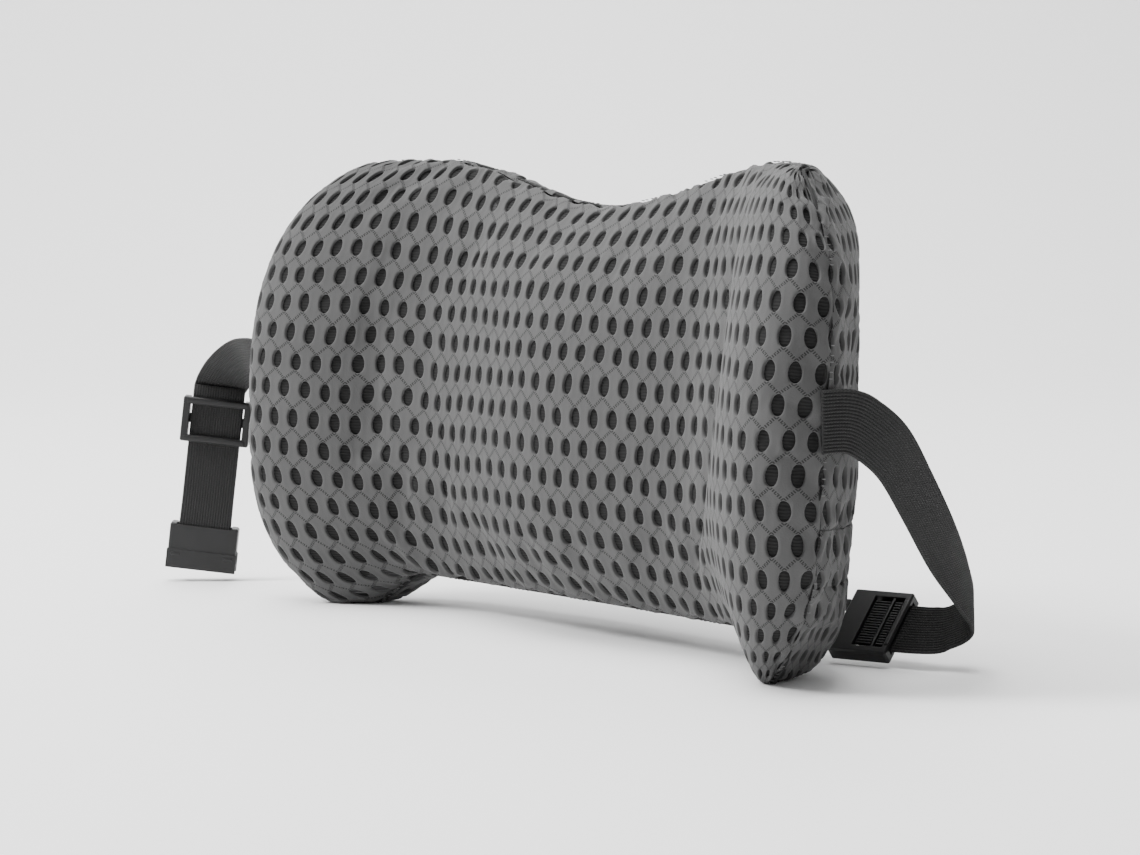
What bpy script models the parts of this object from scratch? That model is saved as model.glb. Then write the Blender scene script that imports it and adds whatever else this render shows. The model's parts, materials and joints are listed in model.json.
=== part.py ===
"""Lumbar support cushion: foam core, liner, zipped mesh cover, two webbing straps and a side-release buckle.

Metres, +Z up. The cushion stands on its two lobes with its hollow front towards -Y and its back towards +Y.
"""
from math import asin, cos, pi, radians, sin, sqrt

import bmesh
import bpy
from mathutils import Matrix, Vector

NAME = "lumbar_cushion"

# Cushion, driving dimensions
WIDTH = 0.405
DEPTH = 0.1025
TOP_HEIGHT = 0.111            # lobe top above the middle line
BOTTOM_HEIGHT = 0.101         # lobe bottom below the middle line
TOP_WAIST = 0.092
BOTTOM_WAIST = 0.081
TOP_END = 0.107
BOTTOM_END = 0.1005
TOP_WAIST_SHARE = (0.0, 0.62)      # share of half the width where the top dip starts and ends
BOTTOM_WAIST_SHARE = (0.60, 0.89)
CORNER_ROUNDING = 0.23
CREST_FROM_END = 0.0219       # where the lobes stand furthest forward
CHANNEL_FROM_END = 0.1119     # where the two upright channels are deepest
CHANNEL_DEPTH = 0.0384
CENTRE_DEPTH = 0.0281
END_DROP = 0.0203
SEAM_MID = -0.0415            # where the edge seam runs, behind the crests
SEAM_CORNER = -0.0211
FRONT_POWER = 2.3
FRONT_ROOT = 0.5
BACK_RADIUS = 0.62            # the back is a plain arc where it lies on a chair
BACK_END = 0.0725             # length of back that comes round to the end seams
BACK_FLAT_TOP = 0.70
BACK_FLAT_LOW = 0.90          # the back stands squarer at the bottom, where it rests
BACK_END_POWER = 0.8
LEAN = radians(4.35)
REST_CUT = 0.0925             # the lobes are pressed flat this far below the middle line

# Layers, from outside to inside
CLEARANCE = 0.0003
COVER_WALL = 0.0026
LINER_WALL = 0.0008
LAYER_GAP = 0.0007
SEAM_GAP = 0.0009
GRID_U = 24
GRID_V = 12

# Zip
ZIP_V = -0.45
ZIP_HALF = 0.118
COIL_HEIGHT = 0.0024
COIL_PROUD = 0.0006
COIL_INSET = 0.0014
TAPE_HEIGHT = 0.0062
TAPE_INSET = 0.0008
TAPE_WALL = 0.0007
TAPE_END_SHARE = 0.985
SLIDER_LENGTH = 0.011
SLIDER_WALL = 0.0010
SLIDER_X = 0.106
TAB_INSET = 0.0002
CROWN_LENGTH = 0.0060
CROWN_WIDTH = 0.0016
CROWN_HEIGHT = 0.0032
CROWN_HOLE = (0.0036, 0.0020)
PULL_LENGTH = 0.024
PULL_WIDTH = 0.0064
PULL_WALL = 0.0010

# Straps and buckle
WEBBING_WIDTH = 0.025
WEBBING_WALL = 0.0013
ELASTIC_WALL = 0.0018
ROOT_Z = 0.107
HARDWARE_SIDE = 0.0034
HARDWARE_SLACK = 0.0008
GLIDE_LENGTH = 0.022
GLIDE_WALL = 0.0018
GLIDE_BAR = 0.0046
LOOP_RADIUS = 0.0034          # middle of the webbing round the socket's bar
BAR_SIZE = 0.0034
LAYER_SPREAD = 0.0011         # half the distance between the two layers of the doubled webbing
HANG_LENGTH = 0.070
HANG_DIRECTION = Vector((-0.10, -0.07, -0.99)).normalized()
SOCKET_LENGTH = 0.0205
SOCKET_DEPTH = 0.0095
SOCKET_WALL = 0.0016
SLOT_HEIGHT = 0.0040
PLUG_FRAME = 0.0200
PLUG_SHOULDER = 0.0080
PLUG_DEPTH = 0.0070
PLUG_WALL = 0.0018
GLIDE_TRAVEL = 0.010           # straight elastic beyond the plug's frame
GUIDE_WIDTH = 0.0050
GUIDE_LENGTH = 0.0170
GUIDE_DEPTH = 0.0042
ARM_WIDTH = 0.0032
ARM_LENGTH = 0.0160
ARM_DEPTH = 0.0046
ARM_BARB = 0.0030
PLUG_DIRECTION = Vector((-0.95, -0.31, 0.0)).normalized()
PLUG_TILT = radians(47)

HARDWARE_WIDTH = WEBBING_WIDTH + 2 * HARDWARE_SLACK + 2 * HARDWARE_SIDE
PASSAGE = WEBBING_WIDTH + 2 * HARDWARE_SLACK
HALF = WIDTH / 2
CREST_X = HALF - CREST_FROM_END
CHANNEL_X = HALF - CHANNEL_FROM_END
BACK_FLAT_X = HALF - BACK_END


# ---- scene ---------------------------------------------------------------------------------------------

def clear_scene():
    for item in list(bpy.data.objects):
        bpy.data.objects.remove(item, do_unlink=True)


def new_collection(name):
    collection = bpy.data.collections.new(name)
    bpy.context.scene.collection.children.link(collection)
    return collection


def make_material(name, colour, roughness, metallic=0.0):
    material = bpy.data.materials.new(name)
    material.use_nodes = True
    shader = material.node_tree.nodes["Principled BSDF"]
    shader.inputs["Base Color"].default_value = (*colour, 1.0)
    shader.inputs["Roughness"].default_value = roughness
    shader.inputs["Metallic"].default_value = metallic
    return material


clear_scene()
PARTS = new_collection(NAME)
CUTTERS = new_collection("cutters")
MESH_FABRIC = make_material("mesh_fabric", (0.20, 0.20, 0.20), 0.85)
LINER_FABRIC = make_material("liner_fabric", (0.03, 0.03, 0.03), 0.9)
FOAM = make_material("memory_foam", (0.75, 0.72, 0.62), 0.95)
WEBBING = make_material("webbing", (0.02, 0.02, 0.02), 0.8)
ELASTIC = make_material("elastic", (0.022, 0.022, 0.022), 0.85)
ACETAL = make_material("buckle_plastic", (0.012, 0.012, 0.012), 0.45)
ZIP_TAPE = make_material("zip_tape", (0.018, 0.018, 0.018), 0.8)
ZIP_COIL = make_material("zip_coil", (0.015, 0.015, 0.015), 0.4)
ZIP_METAL = make_material("zip_metal", (0.05, 0.05, 0.05), 0.35, 1.0)


def add_object(name, mesh, material, collection=None):
    item = bpy.data.objects.new(name, mesh)
    (collection or PARTS).objects.link(item)
    if material:
        mesh.materials.append(material)
    return item


def mesh_from(bm, name):
    mesh = bpy.data.meshes.new(name)
    bm.to_mesh(mesh)
    bm.free()
    return mesh


# ---- cushion surface -----------------------------------------------------------------------------------

def smooth(t):
    t = min(max(t, 0.0), 1.0)
    return t * t * (3 - 2 * t)


def front_depth(x, half, inset):
    """Y of the front along the middle line: crest, channel, low centre, channel, crest."""
    a = abs(x)
    if a < CHANNEL_X:
        drop = CENTRE_DEPTH + (CHANNEL_DEPTH - CENTRE_DEPTH) * smooth(a / CHANNEL_X)
    elif a < CREST_X:
        drop = CHANNEL_DEPTH * (1 - smooth((a - CHANNEL_X) / (CREST_X - CHANNEL_X)))
    else:
        t = (a - CREST_X) / (half - CREST_X)
        drop = END_DROP * (1 - sqrt(1 - 0.92 * t * t)) / (1 - sqrt(0.08))
    return -DEPTH + inset + drop


def half_height(u, upper):
    """Height of the outline above or below the middle line, with its waist."""
    if upper:
        waist, lobe, end, share = TOP_WAIST, TOP_HEIGHT, TOP_END, TOP_WAIST_SHARE
    else:
        waist, lobe, end, share = BOTTOM_WAIST, BOTTOM_HEIGHT, BOTTOM_END, BOTTOM_WAIST_SHARE
    a = abs(u)
    if a < share[1]:
        return waist + (lobe - waist) * smooth((a - share[0]) / (share[1] - share[0]))
    return lobe - (lobe - end) * ((a - share[1]) / (1 - share[1])) ** 2


def seam_depth(u):
    return SEAM_MID + SEAM_CORNER * abs(u) ** 3.5


def front_rise(v):
    return max(0.0, 1 - abs(v) ** FRONT_POWER) ** FRONT_ROOT


def back_rise(v):
    flat = BACK_FLAT_TOP if v > 0 else BACK_FLAT_LOW
    w = max(0.0, (abs(v) - flat) / (1 - flat))
    return sqrt(max(0.0, 1 - w * w))


def back_arc(x):
    return sqrt(BACK_RADIUS ** 2 - x * x) - BACK_RADIUS


def front_y(u, v, half, inset):
    rise = front_rise(v)
    return seam_depth(u) * (1 - rise) + front_depth(half * u, half, inset) * rise


def back_y(u, v, half, inset):
    """The back arc, brought round to the front's edge at both ends so that the seam is shared."""
    rise = back_rise(v)
    arc = seam_depth(u) * (1 - rise) + (back_arc(half * u) - inset) * rise
    w = max(0.0, (half * abs(u) - BACK_FLAT_X) / (half - BACK_FLAT_X))
    keep = max(0.0, 1 - w * w) ** BACK_END_POWER
    edge = front_y(1.0, v, half, inset) + (seam_depth(u) - seam_depth(1.0)) * (1 - front_rise(v))
    return arc * keep + edge * (1 - keep)


def lean(x, y, z):
    """From the cushion's upright frame to the standing one."""
    return Vector((x, y * cos(LEAN) + z * sin(LEAN), z * cos(LEAN) - y * sin(LEAN) + REST_CUT))


def cushion_point(u, v, inset, back, shift=0.0):
    """A point of the cushion's skin, or of a layer inset from it."""
    half = HALF - inset
    x = half * u * (1 - CORNER_ROUNDING * abs(u) ** 3 * abs(v) ** 4)
    z = (half_height(u, v >= 0) - inset) * v
    y = back_y(u, v, half, inset) if back else front_y(u, v, half, inset)
    point = lean(x, y + shift, z)
    point.z = max(point.z, inset)
    return point


def even(low, high, count):
    return [low + (high - low) * i / count for i in range(count + 1)]


def rounded(count):
    """Steps from -1 to 1 that crowd towards both ends, where the skin turns."""
    return [sin(t * pi / 2) for t in even(-1, 1, count)]


def layer(name, patches, outer, inner, material, shift=0.0, skip=None):
    """A sewn layer of the cushion: patches of its skin welded together, with a wall if inner is given."""
    bm = bmesh.new()
    u_of = bm.verts.layers.float.new("u")
    v_of = bm.verts.layers.float.new("v")
    back_of = bm.verts.layers.int.new("back")
    for back, columns, rows in patches:
        grid = []
        for u in columns:
            line = []
            for v in rows:
                vert = bm.verts.new(cushion_point(u, v, outer, back, shift))
                vert[u_of], vert[v_of], vert[back_of] = u, v, int(back)
                line.append(vert)
            grid.append(line)
        for i in range(len(columns) - 1):
            for j in range(len(rows) - 1):
                if skip and back and skip(i, j):
                    continue
                loop = [grid[i][j], grid[i + 1][j], grid[i + 1][j + 1], grid[i][j + 1]]
                bm.faces.new(reversed(loop) if back else loop)
    bmesh.ops.remove_doubles(bm, verts=bm.verts, dist=1e-7)
    if inner is not None:
        extruded = bmesh.ops.extrude_face_region(bm, geom=bm.faces[:], use_keep_orig=True)
        for vert in extruded["geom"]:
            if isinstance(vert, bmesh.types.BMVert):
                vert.co = cushion_point(vert[u_of], vert[v_of], inner, bool(vert[back_of]), shift)
    bmesh.ops.recalc_face_normals(bm, faces=bm.faces)
    item = add_object(name, mesh_from(bm, name), material)
    item.data.shade_smooth()
    return item


COLUMNS = rounded(GRID_U)
ROWS = rounded(GRID_V)
MIDDLE_HEIGHT = BOTTOM_WAIST
COIL_V = COIL_HEIGHT / MIDDLE_HEIGHT
HALF_GAP_V = CLEARANCE / 2 / MIDDLE_HEIGHT
GAP_V = CLEARANCE / MIDDLE_HEIGHT
TAPE_V = TAPE_HEIGHT / MIDDLE_HEIGHT
BAND_V = HALF_GAP_V + COIL_V + GAP_V + TAPE_V + GAP_V


def rows_between(low, high):
    """The shared rows that lie well inside a stretch, with the stretch's own ends."""
    margin = 0.02
    return [low] + [v for v in ROWS if low + margin < v < high - margin] + [high]


def build_cushion():
    inner_cover = COVER_WALL
    liner_out = inner_cover + LAYER_GAP
    liner_in = liner_out + LINER_WALL
    foam_out = liner_in + LAYER_GAP
    sides = [(False, COLUMNS, ROWS), (True, COLUMNS, ROWS)]
    layer("foam_core", sides, foam_out, None, FOAM)

    def opening(i, j):
        return j == GRID_V // 4 and GRID_U // 3 <= i < GRID_U - GRID_U // 3

    layer("inner_liner", sides, liner_out, liner_in, LINER_FABRIC, skip=opening)
    layer("cover_front", sides[:1], 0.0, inner_cover, MESH_FABRIC, shift=-SEAM_GAP / 2)
    upper = rows_between(ZIP_V + BAND_V, 1.0)
    lower = rows_between(-1.0, ZIP_V - BAND_V)
    layer("cover_back_upper", [(True, COLUMNS, upper)], 0.0, inner_cover, MESH_FABRIC, shift=SEAM_GAP / 2)
    layer("cover_back_lower", [(True, COLUMNS, lower)], 0.0, inner_cover, MESH_FABRIC, shift=SEAM_GAP / 2)


# ---- zip -----------------------------------------------------------------------------------------------

def build_zip_band():
    columns = [-TAPE_END_SHARE] + [u for u in COLUMNS if abs(u) < TAPE_END_SHARE - 0.01] + [TAPE_END_SHARE]
    tape_in = TAPE_INSET + TAPE_WALL
    near = ZIP_V + HALF_GAP_V + COIL_V + GAP_V
    far = near + TAPE_V
    layer("zip_tape_upper", [(True, columns, [near, far])], TAPE_INSET, tape_in, ZIP_TAPE)
    low_near = 2 * ZIP_V - near
    low_far = 2 * ZIP_V - far
    layer("zip_tape_lower", [(True, columns, [low_far, low_near])], TAPE_INSET, tape_in, ZIP_TAPE)
    end = (ZIP_HALF - CLEARANCE) / HALF
    coil_columns = even(-end, end, GRID_U)
    low, high = ZIP_V + HALF_GAP_V, ZIP_V + HALF_GAP_V + COIL_V
    layer("zip_coil_upper", [(True, coil_columns, [low, high])], -COIL_PROUD, COIL_INSET, ZIP_COIL)
    layer("zip_coil_lower", [(True, coil_columns, [2 * ZIP_V - high, 2 * ZIP_V - low])],
          -COIL_PROUD, COIL_INSET, ZIP_COIL)
    start = ZIP_HALF / HALF
    beyond = [start] + [u for u in columns if u > start + 0.01]
    ends = [2 * ZIP_V - high, high]
    layer("zip_tab_right", [(True, beyond, ends)], TAB_INSET, tape_in, ZIP_TAPE)
    layer("zip_tab_left", [(True, [-u for u in reversed(beyond)], ends)], TAB_INSET, tape_in, ZIP_TAPE)


def back_frame(x):
    """Local axes on the zip line: X along it, Y out of the back, Z up the cushion."""
    turn = asin(x / BACK_RADIUS)
    z = ZIP_V * MIDDLE_HEIGHT
    place = lean(x, back_arc(x), z)
    upright = Matrix.Rotation(-LEAN, 4, "X") @ Matrix.Rotation(-turn, 4, "Z")
    return Matrix.Translation(place) @ upright


def box_mesh(name, low, high, bevel=0.0):
    bm = bmesh.new()
    bmesh.ops.create_cube(bm, size=1.0)
    size = [high[k] - low[k] for k in range(3)]
    middle = [(high[k] + low[k]) / 2 for k in range(3)]
    for vert in bm.verts:
        vert.co = Vector(middle[k] + vert.co[k] * size[k] for k in range(3))
    if bevel:
        bmesh.ops.bevel(bm, geom=bm.edges[:], offset=bevel, segments=1, affect="EDGES")
    return mesh_from(bm, name)


def box(name, low, high, material=None, frame=None, bevel=0.0):
    item = add_object(name, box_mesh(name, low, high, bevel), material)
    item.matrix_world = frame or Matrix.Identity(4)
    return item


def cut(item, label, low, high):
    """Takes a box, given in the item's own axes, out of it."""
    cutter = add_object(f"cut_{label}", box_mesh(f"cut_{label}", low, high), None, CUTTERS)
    cutter.matrix_world = item.matrix_world
    cutter.display_type = "WIRE"
    cutter.hide_render = True
    step = item.modifiers.new(label, "BOOLEAN")
    step.operation = "DIFFERENCE"
    step.solver = "EXACT"
    step.object = cutter


def add(item, label, low, high):
    """Joins a box, given in the item's own axes, to it."""
    helper = add_object(f"add_{label}", box_mesh(f"add_{label}", low, high), None, CUTTERS)
    helper.matrix_world = item.matrix_world
    helper.display_type = "WIRE"
    helper.hide_render = True
    step = item.modifiers.new(label, "BOOLEAN")
    step.operation = "UNION"
    step.solver = "EXACT"
    step.object = helper


def build_slider():
    frame = back_frame(SLIDER_X)
    half = SLIDER_LENGTH / 2
    coil = HALF_GAP_V * MIDDLE_HEIGHT + COIL_HEIGHT
    sag = BACK_RADIUS - sqrt(BACK_RADIUS ** 2 - half ** 2)
    under = COIL_PROUD + CLEARANCE
    top = under + SLIDER_WALL
    skirt = -(TAPE_INSET - CLEARANCE - sag)
    side = coil + CLEARANCE + SLIDER_WALL
    body = box("zip_slider", (-half, skirt, -side), (half, top, side), ZIP_METAL, frame)
    channel = coil + CLEARANCE
    cut(body, "zip_channel", (-half - 0.001, skirt - 0.001, -channel), (half + 0.001, under, channel))
    crown = CROWN_LENGTH / 2
    add(body, "zip_crown", (-crown, top - 0.0002, -CROWN_WIDTH / 2), (crown, top + CROWN_HEIGHT, CROWN_WIDTH / 2))
    hole = CROWN_HOLE[0] / 2
    hole_top = top + CROWN_HOLE[1]
    cut(body, "crown_hole", (-hole, top, -CROWN_WIDTH), (hole, hole_top, CROWN_WIDTH))
    axis_y = (top + hole_top) / 2
    pivot = frame @ Matrix.Translation((0, axis_y, 0))
    bar = PULL_WALL / 2
    pull = box("zip_pull", (-PULL_LENGTH + bar, -bar, -PULL_WIDTH / 2), (bar, bar, PULL_WIDTH / 2),
               ZIP_METAL, pivot)
    window = CROWN_WIDTH / 2 + 2 * CLEARANCE
    cut(pull, "pull_window", (-CROWN_LENGTH, -0.002, -window), (-bar, 0.002, window))


# ---- straps --------------------------------------------------------------------------------------------

def spline(points, steps):
    """Points along a smooth curve through the given ones."""
    run = []
    for i in range(len(points) - 1):
        before = points[max(i - 1, 0)]
        here, there = points[i], points[i + 1]
        after = points[min(i + 2, len(points) - 1)]
        for k in range(steps):
            t = k / steps
            run.append(0.5 * (2 * here + (there - before) * t
                              + (2 * before - 5 * here + 4 * there - after) * t ** 2
                              + (3 * here - before - 3 * there + after) * t ** 3))
    run.append(points[-1].copy())
    return run


def ribbon(name, centres, widths, thickness, material):
    """A flat band swept along its middle line, with its width turned as listed."""
    bm = bmesh.new()
    rings = []
    for i, centre in enumerate(centres):
        ahead = centres[min(i + 1, len(centres) - 1)] - centres[max(i - 1, 0)]
        across = widths[i] - widths[i].project(ahead)
        across.normalize()
        face = ahead.cross(across).normalized()
        side = across * WEBBING_WIDTH / 2
        out = face * thickness / 2
        rings.append([bm.verts.new(centre + p) for p in (side + out, side - out, -side - out, out - side)])
    for one, two in zip(rings, rings[1:]):
        for k in range(4):
            bm.faces.new((one[k], one[(k + 1) % 4], two[(k + 1) % 4], two[k]))
    bm.faces.new(reversed(rings[0]))
    bm.faces.new(rings[-1])
    bmesh.ops.recalc_face_normals(bm, faces=bm.faces)
    return add_object(name, mesh_from(bm, name), material)


def frame_from(origin, z_axis, x_axis):
    """Axes at origin with Z along z_axis and X as near x_axis as it can be."""
    z_axis = z_axis.normalized()
    x_axis = (x_axis - x_axis.project(z_axis)).normalized()
    y_axis = z_axis.cross(x_axis)
    turn = Matrix((x_axis, y_axis, z_axis)).transposed().to_4x4()
    return Matrix.Translation(origin) @ turn


SEAM_SIDE = Vector((HALF, front_depth(HALF, HALF, 0.0), 0.0))


def seam_place(side, gap):
    """Where a strap leaves the end seam: just outside it, halfway up."""
    y = lean(0, SEAM_SIDE.y, ROOT_Z - REST_CUT).y
    return Vector((side * (HALF + gap), y, ROOT_Z))


LEFT_ROOT = seam_place(-1, 2 * CLEARANCE)
HANG_TOP = LEFT_ROOT + Vector((-0.0580, 0.0068, -0.0120))
HANG_ACROSS = Vector((0.591, 0.807, 0.0))
HANG = frame_from(HANG_TOP, -HANG_DIRECTION, HANG_ACROSS)


def in_hang(y, z):
    return HANG @ Vector((0.0, y, z))


def build_left_strap():
    """From the seam out and down, round the socket's bar and back up to the glide."""
    up = Vector((0, 0, 1))
    across = HANG.to_3x3() @ Vector((1, 0, 0))
    free = [LEFT_ROOT, LEFT_ROOT + Vector((-0.006, 0, 0)), LEFT_ROOT + Vector((-0.018, 0.0018, 0.0018)),
            LEFT_ROOT + Vector((-0.034, 0.0055, 0.0010)), LEFT_ROOT + Vector((-0.0495, 0.0072, -0.0045)),
            in_hang(LAYER_SPREAD, 0.0)]
    turns = [up, up, (up * 0.95 - across * 0.3), (up * 0.8 - across * 0.6), (up * 0.35 - across), -across]
    centres = spline(free, 3)
    widths = spline(turns, 3)
    bar_z = -HANG_LENGTH
    taper = 0.014
    centres.append(in_hang(LAYER_SPREAD, bar_z + taper))
    loop_turns = 8
    for k in range(loop_turns + 1):
        angle = pi * k / loop_turns
        centres.append(in_hang(LOOP_RADIUS * cos(angle), bar_z - LOOP_RADIUS * sin(angle)))
    centres.append(in_hang(-LAYER_SPREAD, bar_z + taper))
    centres.append(in_hang(-LAYER_SPREAD, 0.0))
    widths += [-across] * (len(centres) - len(widths))
    ribbon("strap_left", centres, widths, WEBBING_WALL, WEBBING)


def build_glide():
    """A moulded tri-glide: end bars in front of the webbing, a middle bar behind it, rails at the sides."""
    start = -0.006
    frame = HANG @ Matrix.Translation((0, 0, start))
    half = HARDWARE_WIDTH / 2
    channel = LAYER_SPREAD + WEBBING_WALL / 2 + CLEARANCE
    depth = channel + GLIDE_WALL
    body = box("tri_glide", (-half, -depth, -GLIDE_LENGTH), (half, depth, 0.0), ACETAL, frame, 0.0006)
    run = 0.002
    cut(body, "glide_channel", (-PASSAGE / 2, -channel, -GLIDE_LENGTH - run), (PASSAGE / 2, channel, run))
    middle = -GLIDE_LENGTH / 2
    bar = GLIDE_BAR / 2
    cut(body, "glide_back_a", (-PASSAGE / 2, 0, middle + bar), (PASSAGE / 2, depth + run, run))
    cut(body, "glide_back_b", (-PASSAGE / 2, 0, -GLIDE_LENGTH - run), (PASSAGE / 2, depth + run, middle - bar))
    edge = 0.0034
    cut(body, "glide_front", (-PASSAGE / 2, -depth - run, -GLIDE_LENGTH + edge), (PASSAGE / 2, 0, -edge))


def build_socket():
    """The buckle's open half: a bar for the webbing, a slot, and a mouth with side windows."""
    frame = HANG @ Matrix.Translation((0, 0, -HANG_LENGTH))
    half = HARDWARE_WIDTH / 2
    depth = SOCKET_DEPTH / 2
    bar = BAR_SIZE / 2
    low = -SOCKET_LENGTH
    run = 0.002
    body = box("buckle_socket", (-half, -depth, low), (half, depth, bar), ACETAL, frame, 0.0008)
    slot = bar + SLOT_HEIGHT
    cut(body, "socket_slot", (-PASSAGE / 2, -depth - run, -slot), (PASSAGE / 2, depth + run, -bar))
    for label, y0, y1 in (("front", -depth - run, -bar), ("rear", bar, depth + run)):
        cut(body, f"bar_{label}", (-PASSAGE / 2, y0, -slot), (PASSAGE / 2, y1, bar + run))
    mouth = half - SOCKET_WALL
    inner = depth - SOCKET_WALL
    mouth_top = -slot - 0.0022
    cut(body, "socket_mouth", (-mouth, -inner, low - run), (mouth, inner, mouth_top))
    window = 0.0026
    cut(body, "socket_windows", (-half - run, -window, low + 0.0040), (half + run, window, mouth_top - 0.0020))


RIGHT_ROOT = seam_place(1, ELASTIC_WALL / 2 + 2 * CLEARANCE)
PLUG_PLACE = RIGHT_ROOT + Vector((-0.0720, 0.0781634, -0.0923))
PLUG_ACROSS = Vector((0, 0, 1)) * cos(PLUG_TILT) + PLUG_DIRECTION.cross(Vector((0, 0, 1))) * sin(PLUG_TILT)
PLUG = frame_from(PLUG_PLACE, -PLUG_DIRECTION, PLUG_ACROSS)


def build_right_strap():
    """Ribbed elastic from the seam back and down, turned over and led to the buckle's other half."""
    route = [RIGHT_ROOT,
             RIGHT_ROOT + Vector((0.0006, 0.008, 0.0)),
             RIGHT_ROOT + Vector((0.0018, 0.0167, -0.0035)),
             RIGHT_ROOT + Vector((0.0015, 0.0305, -0.0135)),
             RIGHT_ROOT + Vector((-0.0040, 0.0482, -0.0320)),
             RIGHT_ROOT + Vector((-0.0120, 0.0683, -0.0530)),
             RIGHT_ROOT + Vector((-0.0195, 0.0863, -0.0705)),
             RIGHT_ROOT + Vector((-0.0255, 0.0975, -0.0840)),
             RIGHT_ROOT + Vector((-0.0345, 0.0935, -0.0907)),
             PLUG_PLACE - PLUG_DIRECTION * (PLUG_FRAME + GLIDE_TRAVEL),
             PLUG_PLACE - PLUG_DIRECTION * 0.0060]
    across = PLUG.to_3x3() @ Vector((1, 0, 0))
    turns = [Vector((0, 0, 1)), Vector((0, 0.05, 1)), Vector((0, 0.2, 0.98)), Vector((0, 0.5, 0.86)),
             Vector((-0.1, 0.7, 0.7)), Vector((-0.2, 0.75, 0.65)), Vector((-0.45, 0.65, 0.6)),
             Vector((-0.6, 0.52, 0.6)), Vector((-0.42, 0.62, 0.66)), across, across]
    steps = 3
    ribbon("strap_right", spline(route, steps), spline(turns, steps), ELASTIC_WALL, ELASTIC)


def build_plug():
    """The buckle's other half: a ladder frame for the elastic, a shoulder, a guide and two sprung arms."""
    half = HARDWARE_WIDTH / 2
    depth = PLUG_DEPTH / 2
    run = 0.002
    body = box("buckle_plug", (-half, -depth, -PLUG_SHOULDER), (half, depth, PLUG_FRAME), ACETAL, PLUG, 0.0008)
    channel = ELASTIC_WALL / 2 + CLEARANCE
    cut(body, "plug_channel", (-PASSAGE / 2, -channel, 0), (PASSAGE / 2, channel, PLUG_FRAME + run))
    bar = 0.0028
    cut(body, "plug_front_slot", (-PASSAGE / 2, -depth - run, PLUG_FRAME - 2 * bar), (PASSAGE / 2, 0, PLUG_FRAME - bar))
    cut(body, "plug_inner_slot", (-PASSAGE / 2, -depth - run, 0), (PASSAGE / 2, 0, bar))
    cut(body, "plug_back_slot", (-PASSAGE / 2, 0, bar), (PASSAGE / 2, depth + run, PLUG_FRAME - bar))
    guide = GUIDE_WIDTH / 2
    add(body, "plug_guide", (-guide, -GUIDE_DEPTH / 2, -PLUG_SHOULDER - GUIDE_LENGTH),
        (guide, GUIDE_DEPTH / 2, -PLUG_SHOULDER + run))
    for side, name in ((1, "buckle_arm_upper"), (-1, "buckle_arm_lower")):
        build_arm(name, side, half)


def build_arm(name, side, half):
    """One sprung arm: a slim leg with a barb at its tip, hinged where it leaves the shoulder."""
    outer = half - SOCKET_WALL - 2 * CLEARANCE - ARM_BARB
    root = -2 * CLEARANCE
    outline = [(outer - ARM_WIDTH, root), (outer, root), (outer, -ARM_LENGTH * 0.45),
               (outer + ARM_BARB, -ARM_LENGTH * 0.52), (outer + ARM_BARB, -ARM_LENGTH * 0.7),
               (outer, -ARM_LENGTH), (outer - ARM_WIDTH * 0.8, -ARM_LENGTH), (outer - ARM_WIDTH, -ARM_LENGTH * 0.5)]
    curve = bpy.data.curves.new(name, "CURVE")
    curve.dimensions = "2D"
    curve.fill_mode = "BOTH"
    curve.extrude = ARM_DEPTH / 2
    line = curve.splines.new("POLY")
    line.points.add(len(outline) - 1)
    axis_x = outer - ARM_WIDTH / 2
    for point, (x, z) in zip(line.points, outline):
        point.co = (side * (x - axis_x), z, 0, 1)
    line.use_cyclic_u = True
    shape = bpy.data.objects.new(f"{name}_outline", curve)
    PARTS.objects.link(shape)
    stand = Matrix.Rotation(radians(90), 4, "X")
    frame = PLUG @ Matrix.Translation((side * axis_x, 0, -PLUG_SHOULDER)) @ stand
    shape.matrix_world = frame
    mesh = bpy.data.meshes.new_from_object(shape.evaluated_get(bpy.context.evaluated_depsgraph_get()))
    bm = bmesh.new()
    bm.from_mesh(mesh)
    bmesh.ops.remove_doubles(bm, verts=bm.verts, dist=1e-6)
    bmesh.ops.recalc_face_normals(bm, faces=bm.faces)
    bm.to_mesh(mesh)
    bm.free()
    item = add_object(name, mesh, ACETAL)
    item.matrix_world = frame
    bpy.data.objects.remove(shape, do_unlink=True)


def centre_on_footprint():
    """Moves the whole model so that the middle of its footprint is the origin."""
    bpy.context.view_layer.update()
    graph = bpy.context.evaluated_depsgraph_get()
    corners = []
    for item in PARTS.objects:
        shape = item.evaluated_get(graph)
        corners += [shape.matrix_world @ vert.co for vert in shape.data.vertices]
    middle_x = (min(p.x for p in corners) + max(p.x for p in corners)) / 2
    middle_y = (min(p.y for p in corners) + max(p.y for p in corners)) / 2
    shift = Matrix.Translation((-middle_x, -middle_y, 0))
    for item in list(PARTS.objects) + list(CUTTERS.objects):
        item.matrix_world = shift @ item.matrix_world


def main():
    build_cushion()
    build_zip_band()
    build_slider()
    build_left_strap()
    build_glide()
    build_socket()
    build_right_strap()
    build_plug()
    centre_on_footprint()


main()
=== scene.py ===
from math import cos, pi, radians, sin, sqrt

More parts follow.
